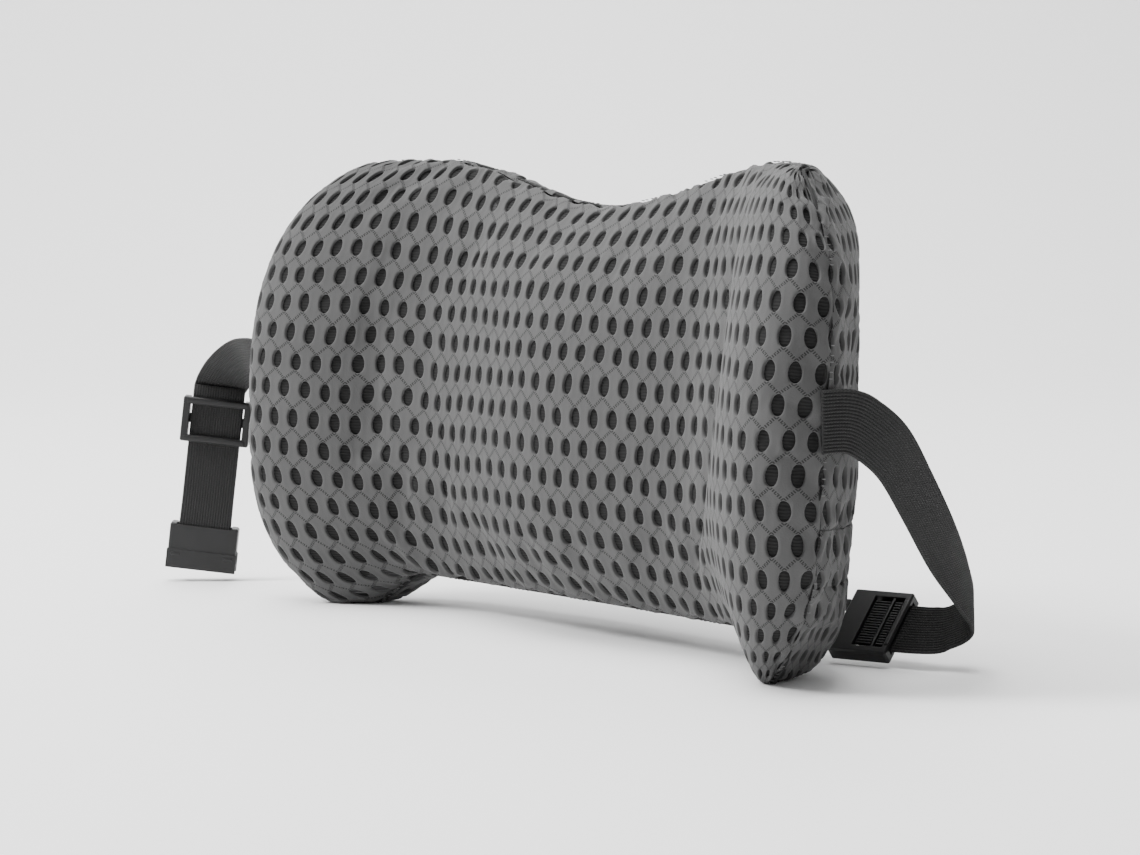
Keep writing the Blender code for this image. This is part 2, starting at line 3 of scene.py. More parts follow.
import bmesh
import bpy
import numpy as np
from mathutils import Matrix, Vector
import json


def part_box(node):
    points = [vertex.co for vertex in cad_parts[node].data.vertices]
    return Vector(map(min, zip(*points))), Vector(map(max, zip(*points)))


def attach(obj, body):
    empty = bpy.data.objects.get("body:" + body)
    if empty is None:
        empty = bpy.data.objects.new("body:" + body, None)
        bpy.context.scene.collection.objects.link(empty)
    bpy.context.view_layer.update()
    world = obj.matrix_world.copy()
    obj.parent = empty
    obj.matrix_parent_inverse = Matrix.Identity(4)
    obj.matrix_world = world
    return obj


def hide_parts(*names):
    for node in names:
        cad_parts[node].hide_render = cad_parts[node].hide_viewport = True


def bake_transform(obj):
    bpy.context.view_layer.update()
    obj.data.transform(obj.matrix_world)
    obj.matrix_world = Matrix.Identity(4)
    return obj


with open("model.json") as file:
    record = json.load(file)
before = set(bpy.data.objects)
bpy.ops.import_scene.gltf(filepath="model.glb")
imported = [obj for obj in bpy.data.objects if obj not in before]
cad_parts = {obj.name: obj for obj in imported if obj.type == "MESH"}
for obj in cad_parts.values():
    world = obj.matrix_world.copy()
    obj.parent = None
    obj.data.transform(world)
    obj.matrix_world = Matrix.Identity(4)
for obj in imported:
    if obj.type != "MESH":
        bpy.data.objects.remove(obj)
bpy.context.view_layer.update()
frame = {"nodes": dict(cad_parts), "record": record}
NODES = frame["nodes"]
JOINTS = {joint["name"]: joint for joint in frame["record"]["behaviour"]["joints"]}

# ---- Foam and liner ------------------------------------------------------------------------------------
# The core is one block of moulded memory foam, skived to a butterfly shape, in a thin black knitted sleeve.
# The sleeve is slipped on before the cover and closed by hand stitches. Neither is seen from outside.

WIDTH, DEPTH = 0.405, 0.1025
TOP_OUTLINE = dict(waist=0.092, lobe=0.111, end=0.107, share=(0.0, 0.62))
LOW_OUTLINE = dict(waist=0.081, lobe=0.101, end=0.1005, share=(0.60, 0.89))
CORNER_ROUNDING = 0.23
CREST_X, CHANNEL_X = 0.1806, 0.0906
CHANNEL_DEPTH, CENTRE_DEPTH, END_DROP = 0.0384, 0.0281, 0.0203
SEAM_MID, SEAM_CORNER = -0.0415, -0.0211
BACK_RADIUS, BACK_FLAT_X = 0.62, 0.13
BACK_FLAT_TOP, BACK_FLAT_LOW = 0.70, 0.90
LEAN, REST_CUT = radians(4.35), 0.0925
ROOT_Z = 0.107

LEFT_ROOT = Vector(JOINTS["webbing_swing"]["pos_m"])
RIGHT_ROOT = Vector(JOINTS["elastic_swing"]["pos_m"])
COVER_LOW, COVER_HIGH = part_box("cover_front")
SEAM_Y_AT_ROOT = (END_DROP - DEPTH) * cos(LEAN) + (ROOT_Z - REST_CUT) * sin(LEAN)
MIDDLE = Vector(((COVER_LOW[0] + COVER_HIGH[0]) / 2, LEFT_ROOT.y - SEAM_Y_AT_ROOT, 0.0))


def smooth(t):
    t = np.clip(t, 0.0, 1.0)
    return t * t * (3 - 2 * t)


def front_depth(x, half, inset):
    """Y of the front along the middle line: crest, channel, low centre, channel, crest."""
    a = np.abs(x)
    centre = CENTRE_DEPTH + (CHANNEL_DEPTH - CENTRE_DEPTH) * smooth(a / CHANNEL_X)
    flank = CHANNEL_DEPTH * (1 - smooth((a - CHANNEL_X) / (CREST_X - CHANNEL_X)))
    t = np.clip((a - CREST_X) / (half - CREST_X), 0, 1)
    end = END_DROP * (1 - np.sqrt(1 - 0.92 * t * t)) / (1 - sqrt(0.08))
    drawn_in = inset * smooth((1 - a / half) / 0.08)
    return -DEPTH + drawn_in + np.where(a < CHANNEL_X, centre, np.where(a < CREST_X, flank, end))


def outline(u, form):
    """Height of the cushion above or below its middle line, with its waist."""
    a, share = np.abs(u), form["share"]
    rise = form["waist"] + (form["lobe"] - form["waist"]) * smooth((a - share[0]) / (share[1] - share[0]))
    fall = form["lobe"] - (form["lobe"] - form["end"]) * (np.clip(a - share[1], 0, 1) / (1 - share[1])) ** 2
    return np.where(a < share[1], rise, fall)


def seam_depth(u):
    return SEAM_MID + SEAM_CORNER * np.abs(u) ** 3.5


def front_rise(v):
    return np.sqrt(np.clip(1 - np.abs(v) ** 2.3, 0, 1))


def front_y(u, v, half, inset):
    rise = front_rise(v)
    return seam_depth(u) * (1 - rise) + front_depth(half * u, half, inset) * rise


def back_y(u, v, half, inset):
    """The back's arc, brought round to the front's edge at both ends."""
    flat = np.where(v > 0, BACK_FLAT_TOP, BACK_FLAT_LOW)
    w = np.clip((np.abs(v) - flat) / (1 - flat), 0, 1)
    rise = np.sqrt(np.clip(1 - w * w, 0, 1))
    arc = np.sqrt(BACK_RADIUS ** 2 - (half * u) ** 2) - BACK_RADIUS - inset
    flat_back = seam_depth(u) * (1 - rise) + arc * rise
    w = np.clip((half * np.abs(u) - BACK_FLAT_X) / (half - BACK_FLAT_X), 0, 1)
    keep = np.clip(1 - w * w, 0, 1) ** 0.8
    edge = front_y(np.ones_like(u), v, half, inset) + (seam_depth(u) - seam_depth(1.0)) * (1 - front_rise(v))
    return flat_back * keep + edge * (1 - keep)


def skin(u, v, back, inset=0.0):
    """Points of the cushion's skin, or of a layer inset from it, as an array of x, y, z."""
    u, v = np.broadcast_arrays(np.asarray(u, float), np.asarray(v, float))
    half = WIDTH / 2 - inset
    x = half * u * (1 - CORNER_ROUNDING * np.abs(u) ** 3 * np.abs(v) ** 4)
    z = (np.where(v >= 0, outline(u, TOP_OUTLINE), outline(u, LOW_OUTLINE)) - inset) * v
    y = back_y(u, v, half, inset) if back else front_y(u, v, half, inset)
    up = z * cos(LEAN) - y * sin(LEAN) + REST_CUT
    out = y * cos(LEAN) + z * sin(LEAN)
    return np.stack([x + MIDDLE.x, out + MIDDLE.y, np.maximum(up, inset)], -1)


def grid_mesh(name, points, flip=False):
    """A mesh over a grid of points, one face to a square."""
    columns, rows = points.shape[:2]
    index = np.arange(columns * rows).reshape(columns, rows)
    faces = np.stack([index[:-1, :-1], index[1:, :-1], index[1:, 1:], index[:-1, 1:]], -1).reshape(-1, 4)
    if flip:
        faces = faces[:, ::-1]
    mesh = bpy.data.meshes.new(name)
    mesh.from_pydata(points.reshape(-1, 3).tolist(), [], faces.tolist())
    mesh.shade_smooth()
    return mesh


def place(name, mesh, material):
    item = bpy.data.objects.new(name, mesh)
    bpy.context.scene.collection.objects.link(item)
    if material:
        mesh.materials.append(material)
    return item


def srgb(text):
    """A hex colour as linear red, green, blue and alpha."""
    parts = [int(text[i:i + 2], 16) / 255 for i in (0, 2, 4)]
    return tuple(c / 12.92 if c <= 0.04045 else ((c + 0.055) / 1.055) ** 2.4 for c in parts) + (1.0,)


def add_node(tree, kind, inputs=None, **settings):
    """Adds a node with its settings, and links or sets its inputs."""
    node = tree.nodes.new(kind)
    for name, value in settings.items():
        setattr(node, name, value)
    for key, value in (inputs or {}).items():
        if isinstance(value, bpy.types.NodeSocket):
            tree.links.new(value, node.inputs[key])
        else:
            node.inputs[key].default_value = value
    return node


def new_material(name, colour, roughness, **more):
    """A material with a Principled shader; more holds any other of its sockets."""
    material = bpy.data.materials.new(name)
    material.use_nodes = True
    shader = material.node_tree.nodes["Principled BSDF"]
    shader.inputs["Base Color"].default_value = srgb(colour)
    shader.inputs["Roughness"].default_value = roughness
    for key, value in more.items():
        shader.inputs[key.replace("_", " ")].default_value = value
    return material, material.node_tree, shader


def add_bump(tree, shader, height, strength, distance):
    bump = add_node(tree, "ShaderNodeBump", {"Height": height, "Strength": strength, "Distance": distance})
    tree.links.new(bump.outputs["Normal"], shader.inputs["Normal"])


def own_place(tree):
    """Where a point lies in the object's own metres."""
    return add_node(tree, "ShaderNodeTexCoord").outputs["Object"]


def cloth_uv(tree):
    """Where a point lies on the cloth: metres along and across."""
    return add_node(tree, "ShaderNodeUVMap", uv_map="cloth").outputs["UV"]


def noise(tree, scale, detail=2.0):
    inputs = {"Vector": own_place(tree), "Scale": scale, "Detail": detail}
    return add_node(tree, "ShaderNodeTexNoise", inputs).outputs["Fac"]


def bands(tree, where, scale, direction, distortion=0.0):
    """Soft bands across direction; scale is 0.314 over the pitch in metres."""
    inputs = {"Vector": where, "Scale": scale, "Distortion": distortion}
    return add_node(tree, "ShaderNodeTexWave", inputs, bands_direction=direction).outputs["Fac"]


def mix_colours(tree, share, first, second):
    return add_node(tree, "ShaderNodeMix", {0: share, 6: first, 7: second}, data_type="RGBA").outputs[2]


def vary_roughness(tree, shader, by, low, high):
    spread = add_node(tree, "ShaderNodeMapRange", {0: by, 3: low, 4: high}).outputs[0]
    tree.links.new(spread, shader.inputs["Roughness"])


def parts_of(tree, vector):
    return add_node(tree, "ShaderNodeSeparateXYZ", {0: vector}).outputs


def maths(tree, operation, a, b=0.0, c=0.0):
    return add_node(tree, "ShaderNodeMath", {0: a, 1: b, 2: c}, operation=operation).outputs[0]


def closed_layer(name, inset, columns, rows):
    """Front and back of an inner layer, welded along the edge into one closed form."""
    u = np.sin(np.linspace(-pi / 2, pi / 2, columns))[:, None]
    v = np.sin(np.linspace(-pi / 2, pi / 2, rows))[None, :]
    bm = bmesh.new()
    bm.from_mesh(grid_mesh(name, skin(u, v, False, inset)))
    bm.from_mesh(grid_mesh(name, skin(u, v, True, inset), flip=True))
    bmesh.ops.remove_doubles(bm, verts=bm.verts, dist=1e-6)
    bmesh.ops.recalc_face_normals(bm, faces=bm.faces)
    mesh = bpy.data.meshes.new(name)
    bm.to_mesh(mesh)
    bm.free()
    mesh.shade_smooth()
    return mesh


# Open-cell polyurethane foam: pale, dead matt, with fine open pores.
foam, tree, shader = new_material("polyurethane_foam", "E2D9BF", 0.95)
pores = add_node(tree, "ShaderNodeTexVoronoi", {"Vector": own_place(tree), "Scale": 900.0})
add_bump(tree, shader, pores.outputs["Distance"], 0.5, 0.0004)

# Black polyester jersey: fine rows of stitches 1.2 mm apart, soft sheen.
jersey, tree, shader = new_material("black_jersey", "1C1C1D", 0.9, Sheen_Weight=0.2)
add_bump(tree, shader, bands(tree, own_place(tree), 260.0, "Z"), 0.4, 0.0003)

FOAM_INSET, LINER_INSET, TIGHT = 0.0064, 0.0048, 0.9
INNER = [("foam_block", FOAM_INSET, 61, 41, foam, "foam_core", "foam"),
         ("liner_sleeve", LINER_INSET, 81, 51, jersey, "inner_liner", "liner_fabric")]
for name, inset, columns, rows, material, node, slot in INNER:
    layer = place(name, closed_layer(name, inset, columns, rows), material)
    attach(layer, "cushion")
    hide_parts(node)

# ---- Spacer-mesh cover ---------------------------------------------------------------------------------
# A warp-knitted polyester spacer mesh, 2.6 mm thick: an open face of oval eyelets in staggered rows over
# a close under-layer, coloured darker as painted shade. It is cut as one front panel and two back panels, and
# sewn inside out.

EYELET_PITCH = (0.0105, 0.0133)
EYELET_SIZE = (0.0056, 0.0086)
MESH_THICKNESS = 0.0015
CLOTH_DRIFT = 0.006
ZIP_V, BAND_V, ZIP_HALF = -0.45, 0.113, 0.118
EYELET_COLUMNS, EYELET_ROWS = 47, 25
RING_STEPS, RING_COUNT = 24, 5
RIM_TO_EDGE = [(0.0, 0.0), (0.25, 0.02), (0.5, 0.16), (0.75, 0.55), (1.0, 1.0)]
WALL_RISE = [(0.0, 0.0), (0.25, 0.88), (0.5, 1.08), (0.75, 0.96), (1.0, 0.88)]
TUCK_WIDTH, TUCK_AT_SEAM, TUCK_AT_ZIP_END = 0.0045, 0.0012, 0.0006
PUCKER_PITCH, PUCKER_DEPTH, PUCKER_WIDTH, SWELL = 0.021, 0.0007, 0.008, 0.00035
FINE_U, FINE_V, EDGE_POWER = 1601, 1201, 9
CLOTH_FRAMES, CLOTH_PRESSURE, CLOTH_EASE, CLOTH_CAP = 20, 4.0, 0.02, 0.0022
REST_CLEARANCE = 0.0006


def unit(vectors):
    return vectors / np.maximum(np.linalg.norm(vectors, axis=-1, keepdims=True), 1e-12)


def relief(across, along, near):
    """How far the cloth stands off its smooth shape: puckers near a seam, slow swells away from it."""
    pucker = np.sin(2 * pi * (across + along) / PUCKER_PITCH + 2 * np.sin(across * 41)) - 0.6
    swell = np.sin(across * 29 + 1.3) * np.sin(along * 37 + 0.7) + 0.6 * np.sin(across * 63 + along * 51)
    return PUCKER_DEPTH * near * pucker + SWELL * (1 - near) * (swell - 1)


def add_uv(mesh, name, at_vertices):
    corners = np.empty(len(mesh.loops), np.int32)
    mesh.loops.foreach_get("vertex_index", corners)
    mesh.uv_layers.new(name=name).data.foreach_set("uv", at_vertices.reshape(-1, 2)[corners].ravel())


def panel_surface(name, back, v_low, v_high, u_low, u_high, columns, rows):
    """The panel's shape at equal steps of cloth, with how far it reaches below and above the middle line."""
    fine_u = np.linspace(-1, 1, FINE_U)
    run = skin(fine_u, 0.0 * fine_u, back)
    length = np.r_[0, np.cumsum(np.linalg.norm(np.diff(run, axis=0), axis=1))]
    length -= length[-1] / 2
    start, end = np.interp((u_low, u_high), fine_u, length)
    u = np.interp(np.linspace(start, end, columns), length, fine_u)
    fine_v = np.sin(np.linspace(-pi / 2, pi / 2, FINE_V))
    points = np.empty((columns, rows, 3))
    height = np.empty((columns, rows))
    below, above = np.empty(columns), np.empty(columns)
    for i in range(columns):
        rise = skin(np.full_like(fine_v, u[i]), fine_v, back)
        reach = np.r_[0, np.cumsum(np.linalg.norm(np.diff(rise, axis=0), axis=1))]
        middle, low, high = (np.interp(v, fine_v, reach) for v in (0.0, v_low, v_high))
        below[i], above[i] = middle - low, high - middle
        steps = np.interp(np.linspace(low, high, rows), reach, fine_v)
        height[i] = steps
        points[i] = skin(np.full_like(steps, u[i]), steps, back)
    across = (np.linspace(start, end, columns))[:, None]
    along = np.linspace(0, 1, rows)[None, :] * (below + above)[:, None] - below[:, None]
    to_end = np.minimum(across - length[0], length[-1] - across)
    to_edge = np.minimum(along + below[:, None], above[:, None] - along)
    near = np.exp(-np.minimum(to_end, to_edge) / PUCKER_WIDTH)
    outward = unit(np.cross(np.gradient(points, axis=0), np.gradient(points, axis=1))) * (-1 if back else 1)
    points = points + outward * relief(across, along, near)[..., None]
    share = np.abs(np.broadcast_to(u[:, None], height.shape)) ** EDGE_POWER, np.abs(height) ** EDGE_POWER
    to_seam = np.stack([-np.sign(u)[:, None] * share[0], 0 * height, -np.sign(height) * share[1]], -1)
    sewn = np.clip(np.maximum(*share) * 1.5, 0, 1)[..., None]
    inward = unit(to_seam) * sewn - outward * (1 - sewn)
    mesh = grid_mesh(name, points, flip=back)
    steps = np.meshgrid(np.linspace(0, 1, columns), np.linspace(0, 1, rows), indexing="ij")
    add_uv(mesh, "panel", np.stack(steps, -1))
    add_uv(mesh, "cloth", np.stack(np.broadcast_arrays(across, along), -1))
    for label, values in (("below", below), ("above", above)):
        spread = np.repeat(values, rows).astype(np.float32)
        mesh.attributes.new(label, "FLOAT", "POINT").data.foreach_set("value", spread)
    turned_in = mesh.attributes.new("inward", "FLOAT_VECTOR", "POINT")
    turned_in.data.foreach_set("vector", inward.reshape(-1, 3).astype(np.float32).ravel())
    return settle(place(name, mesh, None), columns, rows), float(end - start), float(start + end) / 2


def settle(surface, columns, rows):
    """Lets a panel's cloth find its place over the foam: held at its seams and pushed out from inside."""
    index = np.arange(columns * rows).reshape(columns, rows)
    border = set(index[0]) | set(index[-1]) | set(index[:, 0]) | set(index[:, -1])
    surface.vertex_groups.new(name="sewn").add([int(i) for i in border], 1.0, "REPLACE")
    step = surface.modifiers.new("settle", "CLOTH")
    cloth = step.settings
    cloth.quality = 5
    cloth.mass = 0.25
    cloth.tension_stiffness = cloth.compression_stiffness = 20.0
    cloth.bending_stiffness = 1.0
    cloth.use_pressure = True
    cloth.uniform_pressure_force = CLOTH_PRESSURE
    cloth.effector_weights.gravity = 0.0
    cloth.vertex_group_mass = "sewn"
    cloth.shrink_min = -CLOTH_EASE
    step.point_cache.frame_start, step.point_cache.frame_end = 1, CLOTH_FRAMES
    before = np.empty(columns * rows * 3)
    surface.data.vertices.foreach_get("co", before)
    for now in range(1, CLOTH_FRAMES + 1):
        bpy.context.scene.frame_set(now)
    after = np.empty_like(before)
    surface.evaluated_get(bpy.context.evaluated_depsgraph_get()).data.vertices.foreach_get("co", after)
    surface.modifiers.remove(step)
    surface.vertex_groups.clear()
    bpy.context.scene.frame_set(1)
    move = (after - before).reshape(-1, 3)
    reach = np.maximum(np.linalg.norm(move, axis=1, keepdims=True), 1e-9)
    before += (move / reach * CLOTH_CAP * np.tanh(reach / CLOTH_CAP)).ravel()
    surface.data.vertices.foreach_set("co", before)
    surface.data.update()
    return surface


def eyelet_tree():
    """Geometry Nodes: staggered eyelet cells laid flat, then carried onto the panel and tucked at its rim."""
    tree = bpy.data.node_groups.new("eyelet_mesh", "GeometryNodeTree")
    face = tree.interface
    face.new_socket("Geometry", in_out="INPUT", socket_type="NodeSocketGeometry")
    face.new_socket("Geometry", in_out="OUTPUT", socket_type="NodeSocketGeometry")
    for name in ("Panel length", "Panel centre", "Tuck"):
        face.new_socket(name, in_out="INPUT", socket_type="NodeSocketFloat")
    face.new_socket("Yarn", in_out="INPUT", socket_type="NodeSocketMaterial")
    given = tree.nodes.new("NodeGroupInput").outputs

    def node(kind, inputs=None, output=0, **settings):
        return add_node(tree, kind, inputs, **settings).outputs[output]

    def calc(operation, a, b=0.0):
        return maths(tree, operation, a, b)

    def vector(x, y, z=0.0):
        return node("ShaderNodeCombineXYZ", {0: x, 1: y, 2: z})

    def vector_math(operation, a, b):
        return node("ShaderNodeVectorMath", {0: a, 1: b}, operation=operation)

    def scaled(direction, by):
        return node("ShaderNodeVectorMath", {0: direction, "Scale": by}, operation="SCALE")

    def stored(label, kind):
        return node("GeometryNodeInputNamedAttribute", {"Name": label}, data_type=kind)

    def curve(value, points):
        made = add_node(tree, "ShaderNodeFloatCurve", {"Value": value})
        line = made.mapping.curves[0]
        for end, spot in zip(line.points, (points[0], points[-1])):
            end.location = spot
        for x, y in points[1:-1]:
            line.points.new(x, y)
        for point in line.points:
            point.handle_type = "VECTOR"
        made.mapping.update()
        return made.outputs[0]

    # One cell: a strip of quads bent round into a square frame, from the eyelet's rim out to the cell's edge.
    position = node("GeometryNodeInputPosition")
    x, y, z = parts_of(tree, position)
    sheet = node("GeometryNodeMeshGrid",
                 {"Size X": 1.0, "Size Y": 1.0, "Vertices X": RING_STEPS + 1, "Vertices Y": RING_COUNT})
    lap = calc("MULTIPLY", calc("ADD", x, 0.5), 4.0)
    ring = calc("ADD", y, 0.5)

    def side_of_square(furthest):
        """Runs from -0.5 to 0.5 and back as lap goes round the square, and is 0.5 at furthest."""
        near = calc("SUBTRACT", 1.0, calc("ABSOLUTE", calc("SUBTRACT", lap, furthest)))
        return calc("MAXIMUM", calc("MINIMUM", near, 0.5), -0.5)

    side_x, side_y = side_of_square(1.5), side_of_square(2.5)
    reach = calc("SQRT", calc("ADD", calc("MULTIPLY", side_x, side_x), calc("MULTIPLY", side_y, side_y)))
    blend = curve(ring, RIM_TO_EDGE)
    lift = curve(ring, WALL_RISE)

    def cell_side(side, pitch, size):
        rim = calc("MULTIPLY", calc("DIVIDE", side, reach), size / 2)
        edge = calc("MULTIPLY", side, pitch)
        return calc("ADD", calc("MULTIPLY", rim, calc("SUBTRACT", 1.0, blend)), calc("MULTIPLY", edge, blend))

    across, along = (cell_side(*sizes) for sizes in zip((side_x, side_y), EYELET_PITCH, EYELET_SIZE))
    height = calc("MULTIPLY", calc("SUBTRACT", lift, 1.0), MESH_THICKNESS)
    cell = node("GeometryNodeSetPosition", {"Geometry": sheet, "Position": vector(across, along, height)})
    in_cell = vector(calc("DIVIDE", x, EYELET_PITCH[0]), calc("DIVIDE", y, EYELET_PITCH[1]))
    cell = node("GeometryNodeStoreNamedAttribute", {"Geometry": cell, "Name": "eyelet", "Value": in_cell},
                data_type="FLOAT2", domain="CORNER")

    # The flat cloth: a grid of cells, every second row set over by half a cell, drifting a little.
    tall = EYELET_PITCH[1] * (EYELET_ROWS - 1)
    spots = node("GeometryNodeMeshGrid", {"Size X": EYELET_PITCH[0] * (EYELET_COLUMNS - 1), "Size Y": tall,
                                          "Vertices X": EYELET_COLUMNS, "Vertices Y": EYELET_ROWS})
    row = calc("ROUND", calc("DIVIDE", calc("ADD", y, tall / 2), EYELET_PITCH[1]))
    stagger = calc("MULTIPLY", calc("SUBTRACT", calc("FLOORED_MODULO", row, 2.0), 0.5), EYELET_PITCH[0] / 2)
    spots = node("GeometryNodeSetPosition", {"Geometry": spots, "Offset": vector(stagger, 0.0)})
    laid = node("GeometryNodeInstanceOnPoints", {"Points": spots, "Instance": cell})
    laid = node("GeometryNodeRealizeInstances", {"Geometry": laid})
    laid = node("GeometryNodeMergeByDistance", {"Geometry": laid, "Distance": 0.00005})
    drift = node("ShaderNodeTexNoise", {"Scale": 24.0, "Detail": 1.0}, "Color")
    drift = vector_math("SUBTRACT", drift, (0.5, 0.5, 0.5))
    drift = vector_math("MULTIPLY", drift, (CLOTH_DRIFT, CLOTH_DRIFT, 0.0))
    laid = node("GeometryNodeSetPosition", {"Geometry": laid, "Offset": drift})

    # The flat cloth carried onto the panel: what lies outside is cut away and the edge is turned in.
    to_u = calc("ADD", calc("DIVIDE", calc("SUBTRACT", x, given["Panel centre"]), given["Panel length"]), 0.5)
    to_u = node("ShaderNodeClamp", {0: to_u})
    uv_map = stored("panel", "FLOAT_VECTOR")

    def sample(value, at_uv, kind):
        inputs = {"Mesh": given["Geometry"], "Value": value, "Source UV Map": uv_map, "Sample UV": at_uv}
        return node("GeometryNodeSampleUVSurface", inputs, data_type=kind)

    middle = vector(to_u, 0.5)
    below, above = (sample(stored(label, "FLOAT"), middle, "FLOAT") for label in ("below", "above"))
    total = calc("ADD", below, above)
    to_v = node("ShaderNodeClamp", {0: calc("DIVIDE", calc("ADD", y, below), total)})
    spot_on = vector(to_u, to_v)
    inner = calc("MULTIPLY", calc("MULTIPLY", to_u, calc("SUBTRACT", 1.0, to_u)),
                 calc("MULTIPLY", to_v, calc("SUBTRACT", 1.0, to_v)))
    outside = node("FunctionNodeCompare", {0: inner, 1: 1e-7}, data_type="FLOAT", operation="LESS_THAN")
    outside = node("GeometryNodeFieldOnDomain", {0: outside}, data_type="BOOLEAN", domain="POINT")
    laid = node("GeometryNodeDeleteGeometry", {"Geometry": laid, "Selection": outside}, domain="FACE")
    to_end = calc("MULTIPLY", calc("MINIMUM", to_u, calc("SUBTRACT", 1.0, to_u)), given["Panel length"])
    to_edge = calc("MULTIPLY", calc("MINIMUM", to_v, calc("SUBTRACT", 1.0, to_v)), total)
    near = calc("MINIMUM", calc("DIVIDE", calc("MINIMUM", to_end, to_edge), TUCK_WIDTH), 1.0)
    tuck = calc("MULTIPLY", calc("POWER", calc("SUBTRACT", 1.0, near), 2.0), given["Tuck"])
    place_on = sample(position, spot_on, "FLOAT_VECTOR")
    normal_on = sample(node("GeometryNodeInputNormal"), spot_on, "FLOAT_VECTOR")
    inward_on = sample(stored("inward", "FLOAT_VECTOR"), spot_on, "FLOAT_VECTOR")
    final = vector_math("ADD", place_on, scaled(normal_on, z))
    final = vector_math("ADD", final, scaled(inward_on, tuck))
    laid = node("GeometryNodeSetPosition", {"Geometry": laid, "Position": final})
    laid = node("GeometryNodeMergeByDistance", {"Geometry": laid, "Distance": 0.00004})
    laid = node("GeometryNodeSetShadeSmooth", {"Geometry": laid})
    laid = node("GeometryNodeRealizeInstances", {"Geometry": laid})
    laid = node("GeometryNodeSetMaterial", {"Geometry": laid, "Material": given["Yarn"]})
    out = tree.nodes.new("NodeGroupOutput")
    tree.links.new(laid, out.inputs[0])
    return tree


def applied(item):
    """The mesh that the item's modifiers make, with the modifiers then taken off."""
    graph = bpy.context.evaluated_depsgraph_get()
    mesh = bpy.data.meshes.new_from_object(item.evaluated_get(graph), depsgraph=graph)
    item.modifiers.clear()
    return mesh


def baked_copy(name, source, group, values):
    """Runs a Geometry Nodes group over source and returns the result as a plain mesh object."""
    item = place(name, source.data.copy(), None)
    step = item.modifiers.new("nodes", "NODES")
    step.node_group = group
    for socket in group.interface.items_tree:
        if socket.in_out == "INPUT" and socket.name in values:
            step[socket.identifier] = values[socket.name]
    item.data = applied(item)
    item.data.name = name
    return item


# Grey polyester yarn: matt, with a soft fuzz of sheen. Ladders of tiny pin-holes run from each eyelet's foot
# to the heads of the two below it, each a shallow dip coloured near black as painted shade.
# The yarn itself is about 0.3 mm; its grain is drawn at 0.7 mm to show.
yarn, tree, shader = new_material("grey_spacer_yarn", "444444", 0.82, Sheen_Weight=0.08, Sheen_Roughness=0.6)
part = parts_of(tree, add_node(tree, "ShaderNodeAttribute", attribute_name="eyelet").outputs["Vector"])
cell_a, cell_b = maths(tree, "ABSOLUTE", part[0]), maths(tree, "ABSOLUTE", part[1])
EYELET_REACH = EYELET_SIZE[1] / EYELET_PITCH[1] / 2
down = maths(tree, "DIVIDE", maths(tree, "SUBTRACT", cell_b, EYELET_REACH), 0.5 - EYELET_REACH)
off_line = maths(tree, "ABSOLUTE", maths(tree, "SUBTRACT", cell_a, maths(tree, "MULTIPLY", down, 0.25)))
on_line = maths(tree, "LESS_THAN", off_line, 0.095)
climb = maths(tree, "ADD", maths(tree, "MULTIPLY", cell_a, 2.0), maths(tree, "MULTIPLY", down, 0.5))
rung = maths(tree, "GREATER_THAN", maths(tree, "FRACT", maths(tree, "MULTIPLY", climb, 3.5)), 0.45)
past_rim = maths(tree, "GREATER_THAN", down, 0.0)
pin_hole = maths(tree, "MULTIPLY", maths(tree, "MULTIPLY", on_line, rung), past_rim)
shades = mix_colours(tree, noise(tree, 60.0, 3.0), srgb("393939"), srgb("484848"))
# The near-black colour of each pin-hole is painted shade.
tree.links.new(mix_colours(tree, pin_hole, shades, srgb("0C0C0C")), shader.inputs["Base Color"])
height = maths(tree, "SUBTRACT", maths(tree, "MULTIPLY", noise(tree, 1400.0), 0.5), pin_hole)
add_bump(tree, shader, height, 0.6, 0.0004)

# The close under-layer: its yarn coloured darker as painted shade from the face above, with its weft threads
# 1.4 mm apart.
under, tree, shader = new_material("under_layer_painted_shade", "1A1A1A", 0.95)
weft = bands(tree, cloth_uv(tree), 225.0, "Y", 1.5)
tree.links.new(mix_colours(tree, weft, srgb("0C0C0C"), srgb("1A1A1A")), shader.inputs["Base Color"])
add_bump(tree, shader, weft, 0.5, 0.0004)


def press_down(mesh, inset, floor_at):
    """Moves a mesh in along its normals, and flattens what would go below the floor."""
    points, normals = np.empty((2, len(mesh.vertices) * 3))
    mesh.vertices.foreach_get("co", points)
    mesh.vertices.foreach_get("normal", normals)
    points -= normals * inset
    points[2::3] = np.maximum(points[2::3], floor_at)
    mesh.vertices.foreach_set("co", points)


EYELETS = eyelet_tree()
TAB_FROM = 2 * ZIP_HALF / WIDTH
# Columns and rows of a panel's grid.
WHOLE, TAB = (151, 101), (41, 15)
END_TO_END, UPPER, LOWER = (-1.0, 1.0), (ZIP_V + BAND_V, 1.0), (-1.0, ZIP_V - BAND_V)
BESIDE_ZIP = (ZIP_V - BAND_V, ZIP_V + BAND_V)
PANELS = [("front", False, END_TO_END, END_TO_END, WHOLE, TUCK_AT_SEAM, "cover_front"),
          ("back_upper", True, UPPER, END_TO_END, WHOLE, TUCK_AT_SEAM, "cover_back_upper"),
          ("back_lower", True, LOWER, END_TO_END, WHOLE, TUCK_AT_SEAM, "cover_back_lower"),
          ("zip_end_left", True, BESIDE_ZIP, (-1.0, -TAB_FROM), TAB, TUCK_AT_ZIP_END, "zip_tab_left"),
          ("zip_end_right", True, BESIDE_ZIP, (TAB_FROM, 1.0), TAB, TUCK_AT_ZIP_END, "zip_tab_right")]
